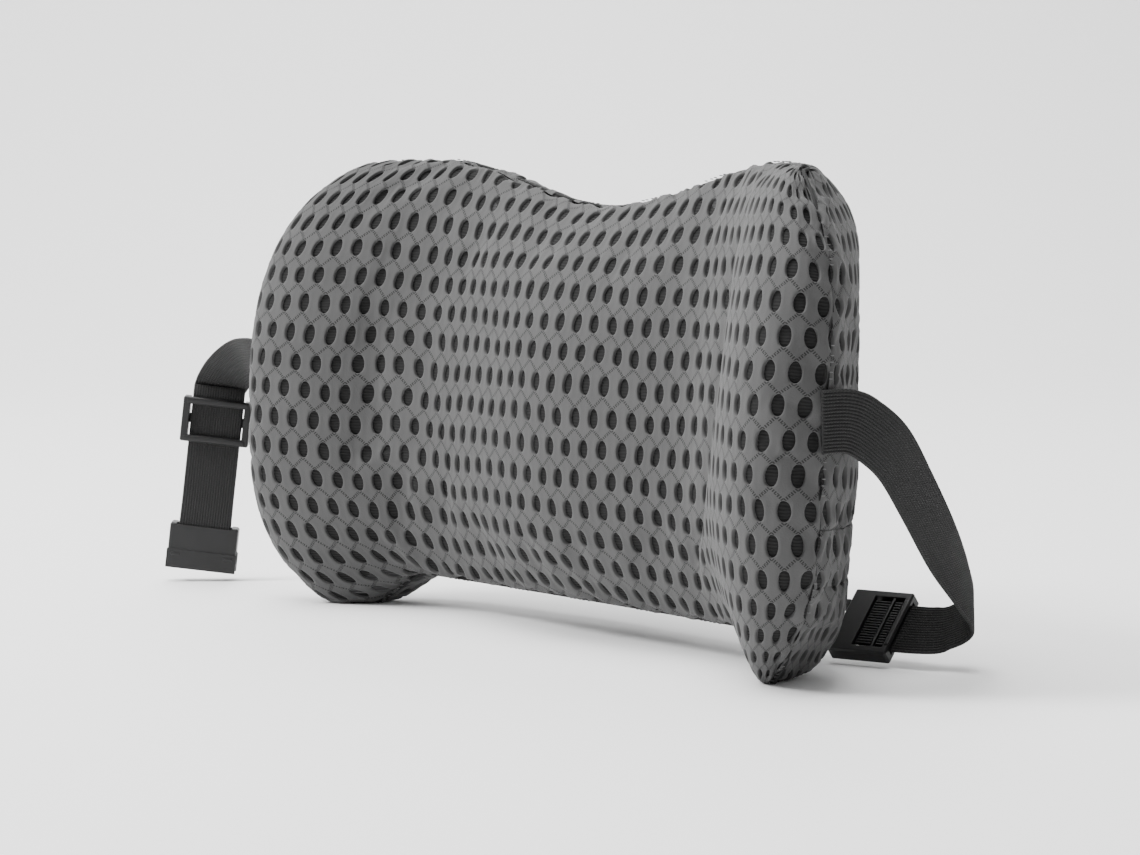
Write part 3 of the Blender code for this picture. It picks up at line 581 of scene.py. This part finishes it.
for label, back, v_range, u_range, steps, tuck, node in PANELS:
    surface, run_length, run_centre = panel_surface(f"{label}_shape", back, *v_range, *u_range, *steps)
    face = baked_copy(f"{label}_mesh_panel", surface, EYELETS,
                      {"Panel length": run_length, "Panel centre": run_centre, "Tuck": tuck, "Yarn": yarn})
    if back:
        face.data.flip_normals()
    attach(face, "cushion")
    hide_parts(node)
    press_down(surface.data, MESH_THICKNESS, REST_CLEARANCE)
    press_down(face.data, 0.0, 0.0)
    # The under-layer's darker colour is painted shade.
    surface.data.materials.append(under)
    surface.name = f"{label}_under_layer"
    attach(surface, "cushion")

# ---- Edge seam -----------------------------------------------------------------------------------------
# Front and back are sewn together inside out round the whole edge, so the seam is a groove. A dark overlock
# thread lies in it, and the lock stitches show across it in short runs spaced evenly round the edge.

SEAM_STEPS, SEAM_INSIDE = 900, 0.985
OVERLOCK_DEPTH, OVERLOCK_RADIUS = 0.0030, 0.0008
STITCH_PITCH, STITCH_LENGTH, STITCH_WIDTH, STITCH_DEPTH = 0.0032, 0.0020, 0.00045, 0.0003
STITCH_RUN, STITCH_SHOWS_OVER = 0.046, 0.45


def edge_line(share, back, steps=SEAM_STEPS):
    """A closed line round the cushion, on the edge or a little inside it, at equal steps of the edge."""
    t = np.linspace(-1, 1, 401)[:-1]
    one = np.ones_like(t)
    lines = []
    for part in (1.0, share):
        sides = [skin(t * part, one * part, back), skin(one * part, -t * part, back),
                 skin(-t * part, -one * part, back), skin(-one * part, t * part, back)]
        lines.append(np.concatenate(sides + [sides[0][:1]]))
    length = np.r_[0, np.cumsum(np.linalg.norm(np.diff(lines[0], axis=0), axis=1))]
    at = np.linspace(0, length[-1], steps, endpoint=False)
    return np.stack([np.interp(at, length, lines[1][:, k]) for k in range(3)], -1), length[-1]


def wire(name, points, radius, material, cyclic=False):
    """A round thread or rod along points."""
    curve = bpy.data.curves.new(name, "CURVE")
    curve.dimensions = "3D"
    curve.bevel_depth = radius
    curve.bevel_resolution = 2
    curve.use_fill_caps = not cyclic
    line = curve.splines.new("POLY")
    line.points.add(len(points) - 1)
    line.points.foreach_set("co", np.c_[points, np.ones(len(points))].ravel())
    line.use_cyclic_u = cyclic
    guide = bpy.data.objects.new(f"{name}_guide", curve)
    bpy.context.scene.collection.objects.link(guide)
    mesh = bpy.data.meshes.new_from_object(guide.evaluated_get(bpy.context.evaluated_depsgraph_get()))
    bpy.data.objects.remove(guide, do_unlink=True)
    bpy.data.curves.remove(curve)
    mesh.materials.clear()
    mesh.shade_smooth()
    return place(name, mesh, material)


def bead_tree():
    """Geometry Nodes: a rounded bead at every point, laid along the point's own "lay" direction."""
    tree = bpy.data.node_groups.new("beads_along_points", "GeometryNodeTree")
    face = tree.interface
    face.new_socket("Geometry", in_out="INPUT", socket_type="NodeSocketGeometry")
    face.new_socket("Geometry", in_out="OUTPUT", socket_type="NodeSocketGeometry")
    face.new_socket("Length", in_out="INPUT", socket_type="NodeSocketFloat")
    face.new_socket("Thickness", in_out="INPUT", socket_type="NodeSocketFloat")
    face.new_socket("Thread", in_out="INPUT", socket_type="NodeSocketMaterial")
    given = tree.nodes.new("NodeGroupInput").outputs

    def node(kind, inputs, **settings):
        return add_node(tree, kind, inputs, **settings).outputs[0]

    ball = node("GeometryNodeMeshUVSphere", {"Segments": 8, "Rings": 5, "Radius": 0.5})
    size = node("ShaderNodeCombineXYZ", {0: given["Thickness"], 1: given["Thickness"], 2: given["Length"]})
    bead = node("GeometryNodeTransform", {"Geometry": ball, "Scale": size})
    lay = node("GeometryNodeInputNamedAttribute", {"Name": "lay"}, data_type="FLOAT_VECTOR")
    turn = node("FunctionNodeAlignRotationToVector", {"Vector": lay}, axis="Z")
    laid = node("GeometryNodeInstanceOnPoints",
                {"Points": given["Geometry"], "Instance": bead, "Rotation": turn})
    laid = node("GeometryNodeRealizeInstances", {"Geometry": laid})
    laid = node("GeometryNodeSetShadeSmooth", {"Geometry": laid})
    laid = node("GeometryNodeSetMaterial", {"Geometry": laid, "Material": given["Thread"]})
    out = tree.nodes.new("NodeGroupOutput")
    tree.links.new(laid, out.inputs[0])
    return tree


BEADS = bead_tree()


def beads(name, points, directions, length, thickness, material):
    """A row of stitches or teeth as one plain mesh."""
    mesh = bpy.data.meshes.new(name)
    mesh.from_pydata([tuple(p) for p in points], [], [])
    lay = mesh.attributes.new("lay", "FLOAT_VECTOR", "POINT")
    lay.data.foreach_set("vector", np.asarray(directions, np.float32).ravel())
    guide = place(f"{name}_guide", mesh, None)
    item = baked_copy(name, guide, BEADS, {"Length": length, "Thickness": thickness, "Thread": material})
    bpy.data.objects.remove(guide, do_unlink=True)
    return item


# Overlock thread: fluffy dark polyester.
overlock, tree, shader = new_material("dark_overlock_thread", "202020", 0.9)
add_bump(tree, shader, noise(tree, 2500.0), 0.5, 0.0003)

# Lock-stitch thread: a little paler than the cloth and spun smooth, so it catches the light.
lock_thread, tree, shader = new_material("grey_lock_thread", "5C5C5C", 0.7)
add_bump(tree, shader, bands(tree, own_place(tree), 900.0, "DIAGONAL"), 0.3, 0.0001)

edge, edge_length = edge_line(1.0, False)
front_side, _ = edge_line(SEAM_INSIDE, False)
back_side, _ = edge_line(SEAM_INSIDE, True)
inward = unit((front_side + back_side) / 2 - edge)
groove = wire("seam_overlock", edge + inward * OVERLOCK_DEPTH, OVERLOCK_RADIUS, overlock, cyclic=True)
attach(groove, "cushion")
stations = np.arange(0, edge_length, STITCH_PITCH)
shown = stations[np.sin(2 * pi * stations / STITCH_RUN) > STITCH_SHOWS_OVER]
pick = (shown / edge_length * SEAM_STEPS).astype(int) % SEAM_STEPS
stitches = beads("seam_stitches", (edge + inward * STITCH_DEPTH)[pick], unit(back_side - front_side)[pick],
                 STITCH_LENGTH, STITCH_WIDTH, lock_thread)
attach(stitches, "cushion")

# ---- Zip -----------------------------------------------------------------------------------------------
# A black nylon coil zip runs across the lower back: two woven tapes sewn under the hemmed panels, two rows
# of coil teeth, and a black-enamelled slider with its pull.

SPACE = 0.0003
MIDDLE_HEIGHT = LOW_OUTLINE["waist"]
COIL_HEIGHT, TAPE_HEIGHT = 0.0024, 0.0062
HALF_GAP_V, GAP_V = SPACE / 2 / MIDDLE_HEIGHT, SPACE / MIDDLE_HEIGHT
COIL_V, TAPE_V = COIL_HEIGHT / MIDDLE_HEIGHT, TAPE_HEIGHT / MIDDLE_HEIGHT
TAPE_END, TAPE_UNDER, TAPE_OVERLAP_V = TAB_FROM + 0.03, 0.0010, 0.012
TOOTH_PITCH, TOOTH_WIDTH = 0.0016, 0.00125

# Woven polyester tape: a tight herringbone, 1.5 mm from point to point, dull black.
tape_cloth, tree, shader = new_material("black_zip_tape", "1A1A1A", 0.8)
part = parts_of(tree, cloth_uv(tree))
chevron = maths(tree, "PINGPONG", maths(tree, "MULTIPLY", part[1], 650.0), 0.5)
turns_of_twill = maths(tree, "ADD", maths(tree, "MULTIPLY", part[0], 1400.0), chevron)
twill = maths(tree, "SINE", maths(tree, "MULTIPLY", turns_of_twill, 2 * pi))
add_bump(tree, shader, twill, 0.5, 0.0002)


def back_strip(name, u_low, u_high, v_low, v_high, inset, material, columns=160, rows=5):
    """A strip of cloth lying on the back, with its position in metres as UV."""
    u = np.linspace(u_low, u_high, columns)[:, None]
    v = np.linspace(v_low, v_high, rows)[None, :]
    points = skin(u, v, True, inset)
    mesh = grid_mesh(name, points, flip=True)
    add_uv(mesh, "cloth", np.stack(np.broadcast_arrays(u * WIDTH / 2, v * MIDDLE_HEIGHT), -1))
    return place(name, mesh, material)


near, far = HALF_GAP_V + COIL_V * 0.5, HALF_GAP_V + COIL_V + GAP_V + TAPE_V + TAPE_OVERLAP_V
for label, v_low, v_high, node in (("above", ZIP_V + near, ZIP_V + far, "zip_tape_upper"),
                                   ("below", ZIP_V - far, ZIP_V - near, "zip_tape_lower")):
    tape = back_strip(f"zip_tape_{label}", -TAPE_END, TAPE_END, v_low, v_high, TAPE_UNDER, tape_cloth)
    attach(tape, "cushion")
    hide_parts(node)

# Rolled hem: the raw edges of the panels are turned in and bound along the zip.
HEM_RADIUS, HEM_PAST_TAB = 0.0017, 0.01
hem_u = np.linspace(-TAB_FROM - HEM_PAST_TAB, TAB_FROM + HEM_PAST_TAB, 160)
for label, hem_v in (("above", ZIP_V + BAND_V), ("below", ZIP_V - BAND_V)):
    hem_line = skin(hem_u, np.full_like(hem_u, hem_v), True, HEM_RADIUS / 2)
    hem = wire(f"zip_hem_{label}", hem_line, HEM_RADIUS, yarn)
    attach(hem, "cushion")

# Nylon coil: glossy black monofilament.
nylon, tree, shader = new_material("black_nylon_coil", "141414", 0.35)
add_bump(tree, shader, noise(tree, 700.0), 0.15, 0.0002)
for sign, node in ((1, "zip_coil_upper"), (-1, "zip_coil_lower")):
    count = int(2 * ZIP_HALF / TOOTH_PITCH)
    u = (np.arange(count) + (0.25 if sign > 0 else 0.75)) * TOOTH_PITCH / (WIDTH / 2) - ZIP_HALF / (WIDTH / 2)
    inner_ends = skin(u, np.full(count, ZIP_V - sign * COIL_V * 0.15), True)
    outer_ends = skin(u, np.full(count, ZIP_V + sign * (HALF_GAP_V + COIL_V)), True)
    teeth = beads(f"{node}_teeth", (inner_ends + outer_ends) / 2, outer_ends - inner_ends,
                  COIL_HEIGHT * 1.15, TOOTH_WIDTH, nylon)
    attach(teeth, "cushion")
    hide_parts(node)

# Black enamel on zinc: the slider and its pull are die-cast, dipped and baked.
enamel, tree, shader = new_material("black_enamelled_zinc", "17181A", 0.3, Metallic=0.0, Coat_Weight=0.5)
vary_roughness(tree, shader, noise(tree, 300.0, 4.0), 0.25, 0.42)


def cad_bmesh(node):
    """The CAD node's faces, welded and with its flat faces whole again."""
    bm = bmesh.new()
    bm.from_mesh(NODES[node].data)
    bm.transform(NODES[node].matrix_world)
    bmesh.ops.remove_doubles(bm, verts=bm.verts, dist=1e-6)
    bmesh.ops.dissolve_limit(bm, angle_limit=radians(1), verts=bm.verts, edges=bm.edges)
    return bm


def cast_part(name, node, body, material, rounding, extra=None):
    """A moulded or cast part: the CAD shape with every edge eased, and any detail added by extra."""
    bm = cad_bmesh(node)
    item = place(name, bpy.data.meshes.new(name), material)
    bm.to_mesh(item.data)
    bm.free()
    ease = item.modifiers.new("ease", "BEVEL")
    ease.width = rounding
    ease.segments = 3
    ease.limit_method = "ANGLE"
    ease.angle_limit = radians(25)
    ease.use_clamp_overlap = True
    bm = bmesh.new()
    bm.from_mesh(applied(item))
    if extra:
        extra(bm)
    bmesh.ops.recalc_face_normals(bm, faces=bm.faces)
    bm.to_mesh(item.data)
    bm.free()
    item.data.shade_smooth()
    item.modifiers.new("weighted", "WEIGHTED_NORMAL").keep_sharp = True
    item.data = applied(item)
    item.data.name = name
    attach(item, body)
    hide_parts(node)
    return item


cast_part("enamelled_slider", "zip_slider", "zip_slider_body", enamel, 0.0003)
cast_part("enamelled_pull", "zip_pull", "zip_pull_body", enamel, 0.00035)

# ---- Left strap ----------------------------------------------------------------------------------------
# Black ribbed webbing 25 mm wide, sewn into the left end seam. It hangs down, goes round the bar of the
# buckle half and comes back up behind itself through the tri-glide.

STRAP_WIDTH, PICK_SHINE = 0.025, 1.6
HANG_DIRECTION = Vector((-0.10, -0.07, -0.99)).normalized()
HANG_TOP = LEFT_ROOT + Vector((-0.0580, 0.0068, -0.0120))
HANG_LENGTH, LOOP_RADIUS, LAYER_SPREAD = 0.070, 0.0034, 0.0011


def spline(points, steps):
    """Points along a smooth curve through the given ones."""
    run = []
    for i in range(len(points) - 1):
        before, after = points[max(i - 1, 0)], points[min(i + 2, len(points) - 1)]
        here, there = points[i], points[i + 1]
        for k in range(steps):
            t = k / steps
            square = 2 * before - 5 * here + 4 * there - after
            cube = 3 * here - before - 3 * there + after
            run.append(0.5 * (2 * here + (there - before) * t + square * t ** 2 + cube * t ** 3))
    run.append(points[-1].copy())
    return run


def strap_section(thickness, ribs, rib_depth, per_rib=6):
    """Half the outline of a woven strap: across and out, with lengthwise ribs and a rounded selvedge."""
    across = np.linspace(-0.5, 0.5, ribs * per_rib + 1)
    rib = np.abs(np.sin(across * ribs * pi + (0 if ribs % 2 == 0 else pi / 2)))
    selvedge = np.sqrt(np.clip(1 - (np.abs(across) * 2) ** 24, 0, 1))
    return across * STRAP_WIDTH, (thickness / 2 - rib_depth * (1 - rib)) * selvedge


def band(name, centres, widths, section, material):
    """Sweeps a strap's section along its middle line. UV holds metres along and across."""
    across, out = section
    wide = np.r_[across, across[-2:0:-1]]
    high = np.r_[out, -out[-2:0:-1]]
    rings, run, length = [], [], 0.0
    for i, centre in enumerate(centres):
        ahead = centres[min(i + 1, len(centres) - 1)] - centres[max(i - 1, 0)]
        side = (widths[i] - widths[i].project(ahead)).normalized()
        face = ahead.cross(side).normalized()
        rings.append(np.array(centre) + np.outer(wide, side) + np.outer(high, face))
        length += (centre - centres[max(i - 1, 0)]).length
        run.append(length)
    rings = np.array(rings)
    count, around = rings.shape[:2]
    index = np.arange(count * around).reshape(count, around)
    turned = np.roll(index, -1, axis=1)
    quads = np.stack([index[:-1], turned[:-1], turned[1:], index[1:]], -1).reshape(-1, 4)
    faces = quads.tolist() + [index[0][::-1].tolist(), index[-1].tolist()]
    mesh = bpy.data.meshes.new(name)
    mesh.from_pydata(rings.reshape(-1, 3).tolist(), [], faces)
    add_uv(mesh, "cloth", np.stack([np.repeat(run, around), np.tile(wide, count)], -1))
    mesh.shade_smooth()
    return place(name, mesh, material)


def woven(name, colour, pick_pitch, rib_pitch, lift):
    """Woven strap cloth: picks slanting across the ribs, alternately left and right, coloured with painted
    shade between the picks and a painted highlight on their crowns.
    """
    cloth, tree, shader = new_material(name, colour, 0.75, Sheen_Weight=0.04)
    part = parts_of(tree, cloth_uv(tree))
    slant = maths(tree, "PINGPONG", maths(tree, "DIVIDE", part[1], rib_pitch), 0.5)
    pick = maths(tree, "ADD", maths(tree, "DIVIDE", part[0], pick_pitch), slant)
    thread = maths(tree, "ABSOLUTE", maths(tree, "SINE", maths(tree, "MULTIPLY", pick, pi)))
    fuzz = maths(tree, "ADD", maths(tree, "MULTIPLY", noise(tree, 90.0, 4.0), 0.6), 0.7)
    # Black between the picks is painted shade; PICK_SHINE times the colour on their crowns is a painted
    # highlight.
    shade = maths(tree, "MULTIPLY", maths(tree, "ADD", maths(tree, "MULTIPLY", thread, 0.5), 0.5), fuzz)
    lit_pick_colour = tuple(PICK_SHINE * c for c in srgb(colour)[:3]) + (1.0,)
    tree.links.new(mix_colours(tree, shade, (0, 0, 0, 1), lit_pick_colour), shader.inputs["Base Color"])
    add_bump(tree, shader, thread, 0.6, lift)
    return cloth


def frame_from(origin, z_axis, x_axis):
    z_axis = z_axis.normalized()
    x_axis = (x_axis - x_axis.project(z_axis)).normalized()
    turn = Matrix((x_axis, z_axis.cross(x_axis), z_axis)).transposed().to_4x4()
    return Matrix.Translation(origin) @ turn


LEFT_RIBS, WEBBING_WALL, WEBBING_RIB = 20, 0.0013, 0.0003
webbing = woven("black_ribbed_webbing", "0C0C0C", 0.0011, STRAP_WIDTH / LEFT_RIBS, 0.0002)
HANG = frame_from(HANG_TOP, -HANG_DIRECTION, Vector((0.591, 0.807, 0.0)))
UP = Vector((0, 0, 1))
hang_across = HANG.to_3x3() @ Vector((1, 0, 0))
free = [LEFT_ROOT + Vector((0.0035, 0, 0)), LEFT_ROOT + Vector((-0.006, 0, 0)),
        LEFT_ROOT + Vector((-0.018, 0.0018, 0.0018)), LEFT_ROOT + Vector((-0.034, 0.0055, 0.0010)),
        LEFT_ROOT + Vector((-0.0495, 0.0072, -0.0045)), HANG @ Vector((0, LAYER_SPREAD, 0))]
turns = [UP, UP, UP * 0.95 - hang_across * 0.3, UP * 0.8 - hang_across * 0.6,
         UP * 0.35 - hang_across, -hang_across]
centres, widths = spline(free, 12), spline(turns, 12)
LOOP_TURNS, LOOP_TAPER, HANG_STEPS = 16, 0.014, 10
down = np.linspace(0, HANG_LENGTH - LOOP_TAPER, HANG_STEPS)[1:]
centres += [HANG @ Vector((0, LAYER_SPREAD, -z)) for z in down]
for k in range(LOOP_TURNS + 1):
    angle = pi * k / LOOP_TURNS
    centres.append(HANG @ Vector((0, LOOP_RADIUS * cos(angle), -HANG_LENGTH - LOOP_RADIUS * sin(angle))))
centres += [HANG @ Vector((0, -LAYER_SPREAD, -z)) for z in reversed(np.r_[0.0, down])]
widths += [-hang_across] * (len(centres) - len(widths))
left_section = strap_section(WEBBING_WALL, LEFT_RIBS, WEBBING_RIB)
left_strap = band("left_webbing", centres, widths, left_section, webbing)
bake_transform(left_strap)
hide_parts("strap_left")

# ---- Tri-glide and open buckle half --------------------------------------------------------------------
# Both are injection-moulded black acetal. The glide grips the doubled webbing between its end bars and its
# middle bar. The open half of the buckle has a bar for the webbing, a stepped body and a windowed mouth.

# Acetal: a fine spark-eroded mould finish, half gloss, its roughness varying at random from place to place.
acetal, tree, shader = new_material("black_acetal", "0B0B0C", 0.42, Specular_IOR_Level=0.4)
vary_roughness(tree, shader, noise(tree, 120.0), 0.34, 0.52)
add_bump(tree, shader, noise(tree, 1800.0), 0.25, 0.00015)


def bar_into(bm, frame_at, low, high, rounding):
    """Adds a block with eased edges, given in its own axes."""
    made = bmesh.ops.create_cube(bm, size=1.0)["verts"]
    size = Vector(high[k] - low[k] for k in range(3))
    middle = Vector((high[k] + low[k]) / 2 for k in range(3))
    for vert in made:
        vert.co = Vector(middle[k] + vert.co[k] * size[k] for k in range(3))
    edges = list({edge for vert in made for edge in vert.link_edges})
    eased = bmesh.ops.bevel(bm, geom=edges, offset=rounding, segments=2, affect="EDGES", profile=0.5)
    own = {vert for face in eased["faces"] for vert in face.verts} | {v for v in made if v.is_valid}
    bmesh.ops.transform(bm, matrix=frame_at, verts=list(own))


GLIDE_TOP, GLIDE_LENGTH, GLIDE_FACE = -0.006, 0.022, 0.0039
PAD_FROM_END, PAD_HALF_WIDTH, PAD_HALF_HEIGHT, PAD_HALF_LIFT = 0.0017, 0.0150, 0.0013, 0.0004


def glide_detail(bm):
    """A low pad along each end bar, where the fingers push."""
    for z in (GLIDE_TOP - PAD_FROM_END, GLIDE_TOP - GLIDE_LENGTH + PAD_FROM_END):
        low = (-PAD_HALF_WIDTH, -GLIDE_FACE - PAD_HALF_LIFT, z - PAD_HALF_HEIGHT)
        high = (PAD_HALF_WIDTH, -GLIDE_FACE + PAD_HALF_LIFT, z + PAD_HALF_HEIGHT)
        bar_into(bm, HANG, low, high, 0.0005)


cast_part("moulded_glide", "tri_glide", "glide", acetal, 0.0005, glide_detail)

SOCKET = HANG @ Matrix.Translation((0, 0, -HANG_LENGTH))
SOCKET_LOW, SOCKET_FACE = -0.0205, 0.00475
HOOD_HALF, HOOD_WALL, HOOD_LOW, HOOD_HIGH = 0.0136, 0.0006, -0.0062, 0.0010
COLLAR_HALF, COLLAR_SUNK, COLLAR_LIFT, COLLAR_HEIGHT = 0.0171, 0.0004, 0.0006, 0.0095
BOSS_AT, BOSS_HALF, BOSS_LIFT, BOSS_LOW, BOSS_HIGH = 0.0128, 0.0022, 0.0011, 0.0062, 0.0078


def socket_detail(bm):
    """On each face: a thin hood over the webbing's bar, a collar round the mouth and two bosses on it."""
    for side in (-1, 1):
        def slab(centre, half, near, far, low, high, rounding):
            face_low, face_high = sorted((side * near, side * far))
            bar_into(bm, SOCKET, (centre - half, face_low, low), (centre + half, face_high, high), rounding)

        slab(0, HOOD_HALF, SOCKET_FACE - HOOD_WALL, SOCKET_FACE, HOOD_LOW, HOOD_HIGH, 0.0002)
        slab(0, COLLAR_HALF, SOCKET_FACE - COLLAR_SUNK, SOCKET_FACE + COLLAR_LIFT, SOCKET_LOW,
             SOCKET_LOW + COLLAR_HEIGHT, 0.0004)
        for centre in (-BOSS_AT, BOSS_AT):
            slab(centre, BOSS_HALF, SOCKET_FACE, SOCKET_FACE + BOSS_LIFT, SOCKET_LOW + BOSS_LOW,
                 SOCKET_LOW + BOSS_HIGH, 0.0004)


cast_part("moulded_socket", "buckle_socket", "socket", acetal, 0.0006, socket_detail)

# ---- Right strap ---------------------------------------------------------------------------------------
# Black ribbed elastic 25 mm wide: rubber cords covered with polyester, so it is thicker and its cords stand
# up as ribs. It is sewn into the right end seam, loops back and down, turns over and runs to the buckle half.

RIGHT_RIBS, ELASTIC_WALL, ELASTIC_RIB = 19, 0.0018, 0.0006
elastic = woven("black_ribbed_elastic", "0C0C0C", 0.0013, STRAP_WIDTH / RIGHT_RIBS, 0.00025)
PLUG_PLACE = RIGHT_ROOT + Vector((-0.0720, 0.0781634, -0.0923))
PLUG_DIRECTION = Vector((-0.95, -0.31, 0.0)).normalized()
PLUG_TILT = radians(47)
plug_side = UP * cos(PLUG_TILT) + PLUG_DIRECTION.cross(UP) * sin(PLUG_TILT)
PLUG = frame_from(PLUG_PLACE, -PLUG_DIRECTION, plug_side)
PLUG_FRAME, STRAIGHT = 0.0200, 0.010
steps_out = [(0.0006, 0.008, 0.0), (0.0018, 0.0167, -0.0035), (0.0015, 0.0305, -0.0135),
             (-0.0040, 0.0482, -0.0320), (-0.0120, 0.0683, -0.0530), (-0.0195, 0.0863, -0.0705),
             (-0.0255, 0.0975, -0.0840), (-0.0345, 0.0935, -0.0907)]
route = [RIGHT_ROOT + Vector((-0.0012, -0.0035, 0))] + [RIGHT_ROOT + Vector(step) for step in steps_out]
route += [PLUG_PLACE - PLUG_DIRECTION * (PLUG_FRAME + STRAIGHT), PLUG_PLACE - PLUG_DIRECTION * 0.0060]
plug_across = PLUG.to_3x3() @ Vector((1, 0, 0))
turns = [Vector(turn) for turn in ((0, 0, 1), (0, 0.05, 1), (0, 0.2, 0.98), (0, 0.5, 0.86), (-0.1, 0.7, 0.7),
                                   (-0.2, 0.75, 0.65), (-0.45, 0.65, 0.6), (-0.6, 0.52, 0.6),
                                   (-0.42, 0.62, 0.66))] + [plug_across, plug_across]
right_strap = band("right_elastic", spline(route, 12), spline(turns, 12),
                   strap_section(ELASTIC_WALL, RIGHT_RIBS, ELASTIC_RIB), elastic)
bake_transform(right_strap)
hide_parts("strap_right")

# ---- Closed buckle half --------------------------------------------------------------------------------
# The same acetal: a ladder frame for the elastic with finger ridges in two groups, a plain shoulder that
# stops against the other half, a guide tongue, and two sprung arms that are squeezed to let go.

RIDGE_COUNT, RIDGE_HALF, RIDGE_WIDTH, RIDGE_IN, RIDGE_TOP = 17, 0.0118, 0.00072, 0.0003, 0.0027
RIDGE_BED_LOW, RIDGE_BED_TOP = 0.0014, 0.0020


def plug_detail(bm):
    """Two groups of ridges on their beds, the bar between them and the bar at the frame's end."""
    for low_z, high_z in ((0.0032, 0.0112), (0.0126, 0.0166)):
        bar_into(bm, PLUG, (-RIDGE_HALF, RIDGE_BED_LOW, low_z), (RIDGE_HALF, RIDGE_BED_TOP, high_z), 0.0002)
        for k in range(RIDGE_COUNT):
            x = (2 * (k + 0.5) / RIDGE_COUNT - 1) * RIDGE_HALF
            bar_into(bm, PLUG, (x - RIDGE_WIDTH / 2, 0.0018, low_z + RIDGE_IN),
                     (x + RIDGE_WIDTH / 2, RIDGE_TOP, high_z - RIDGE_IN), 0.0001)
    bar_into(bm, PLUG, (-0.0132, 0.0013, 0.0113), (0.0132, 0.0032, 0.0125), 0.0003)
    bar_into(bm, PLUG, (-0.0120, 0.0030, 0.0176), (0.0120, 0.0039, 0.0197), 0.0004)


cast_part("moulded_plug", "buckle_plug", "plug", acetal, 0.0005, plug_detail)
cast_part("sprung_arm_upper", "buckle_arm_upper", "arm_upper", acetal, 0.0003)
cast_part("sprung_arm_lower", "buckle_arm_lower", "arm_lower", acetal, 0.0003)

# ---- Room ----------------------------------------------------------------------------------------------
# A plain pale floor and soft studio light from above and the left.

floor_material, tree, shader = new_material("pale_paper", "FCFCFC", 0.7)
add_bump(tree, shader, noise(tree, 400.0), 0.05, 0.0002)
AZIMUTH, ELEVATION, DISTANCE = radians(53.7262), radians(4.5229), 1.6
SWEEP_NEAR, SWEEP_FAR, SWEEP_RADIUS, SWEEP_HALF, SWEEP_TOP = -2.6, 1.5, 1.2, 3.5, 3.2
bend = np.linspace(0, pi / 2, 24)
run_back = np.r_[SWEEP_NEAR, SWEEP_FAR + SWEEP_RADIUS * np.sin(bend), SWEEP_FAR + SWEEP_RADIUS]
rise = np.r_[0, SWEEP_RADIUS * (1 - np.cos(bend)), SWEEP_TOP] - 0.0004
away = np.array([-sin(AZIMUTH), cos(AZIMUTH)])
aside = np.array([cos(AZIMUTH), sin(AZIMUTH)])
paper = np.array([[[*(away * r + aside * w), z] for r, z in zip(run_back, rise)]
                  for w in (-SWEEP_HALF, SWEEP_HALF)])
floor = place("paper_sweep", grid_mesh("paper_sweep", paper), floor_material)


def soft_light(name, place_at, aim, size, power):
    lamp = bpy.data.lights.new(name, "AREA")
    lamp.shape = "DISK"
    lamp.size = size
    lamp.energy = power
    item = bpy.data.objects.new(name, lamp)
    item.location = place_at
    item.rotation_euler = (Vector(aim) - Vector(place_at)).to_track_quat("-Z", "Y").to_euler()
    bpy.context.scene.collection.objects.link(item)


AIM = (MIDDLE.x, MIDDLE.y - 0.05, 0.1)
soft_light("key_light", (-1.0, -1.7, 1.8), AIM, 1.0, 82.0)
soft_light("top_light", (-0.4, -0.3, 2.6), AIM, 2.2, 115.0)
soft_light("back_light", (-1.6, 1.2, 1.6), AIM, 1.2, 20.0)
world = bpy.data.worlds.new("studio")
world.use_nodes = True
world.node_tree.nodes["Background"].inputs["Color"].default_value = (1.0, 1.0, 1.0, 1.0)
world.node_tree.nodes["Background"].inputs["Strength"].default_value = 0.42
bpy.context.scene.world = world

SENSOR_MM, LENS_MM, SHIFT = 36.0, 115.87, 0.0132
AIM_POINT = MIDDLE + Vector((-0.011, -0.055, REST_CUT - 0.0024))
back_way = Vector((sin(AZIMUTH) * cos(ELEVATION), -cos(AZIMUTH) * cos(ELEVATION), sin(ELEVATION)))
lens = bpy.data.cameras.new("camera")
lens.sensor_width = SENSOR_MM
lens.lens = LENS_MM
lens.shift_x = SHIFT
camera = bpy.data.objects.new("camera", lens)
camera.location = AIM_POINT + back_way * DISTANCE
camera.rotation_euler = (-back_way).to_track_quat("-Z", "Y").to_euler()
bpy.context.scene.collection.objects.link(camera)
bpy.context.scene.camera = camera

import json
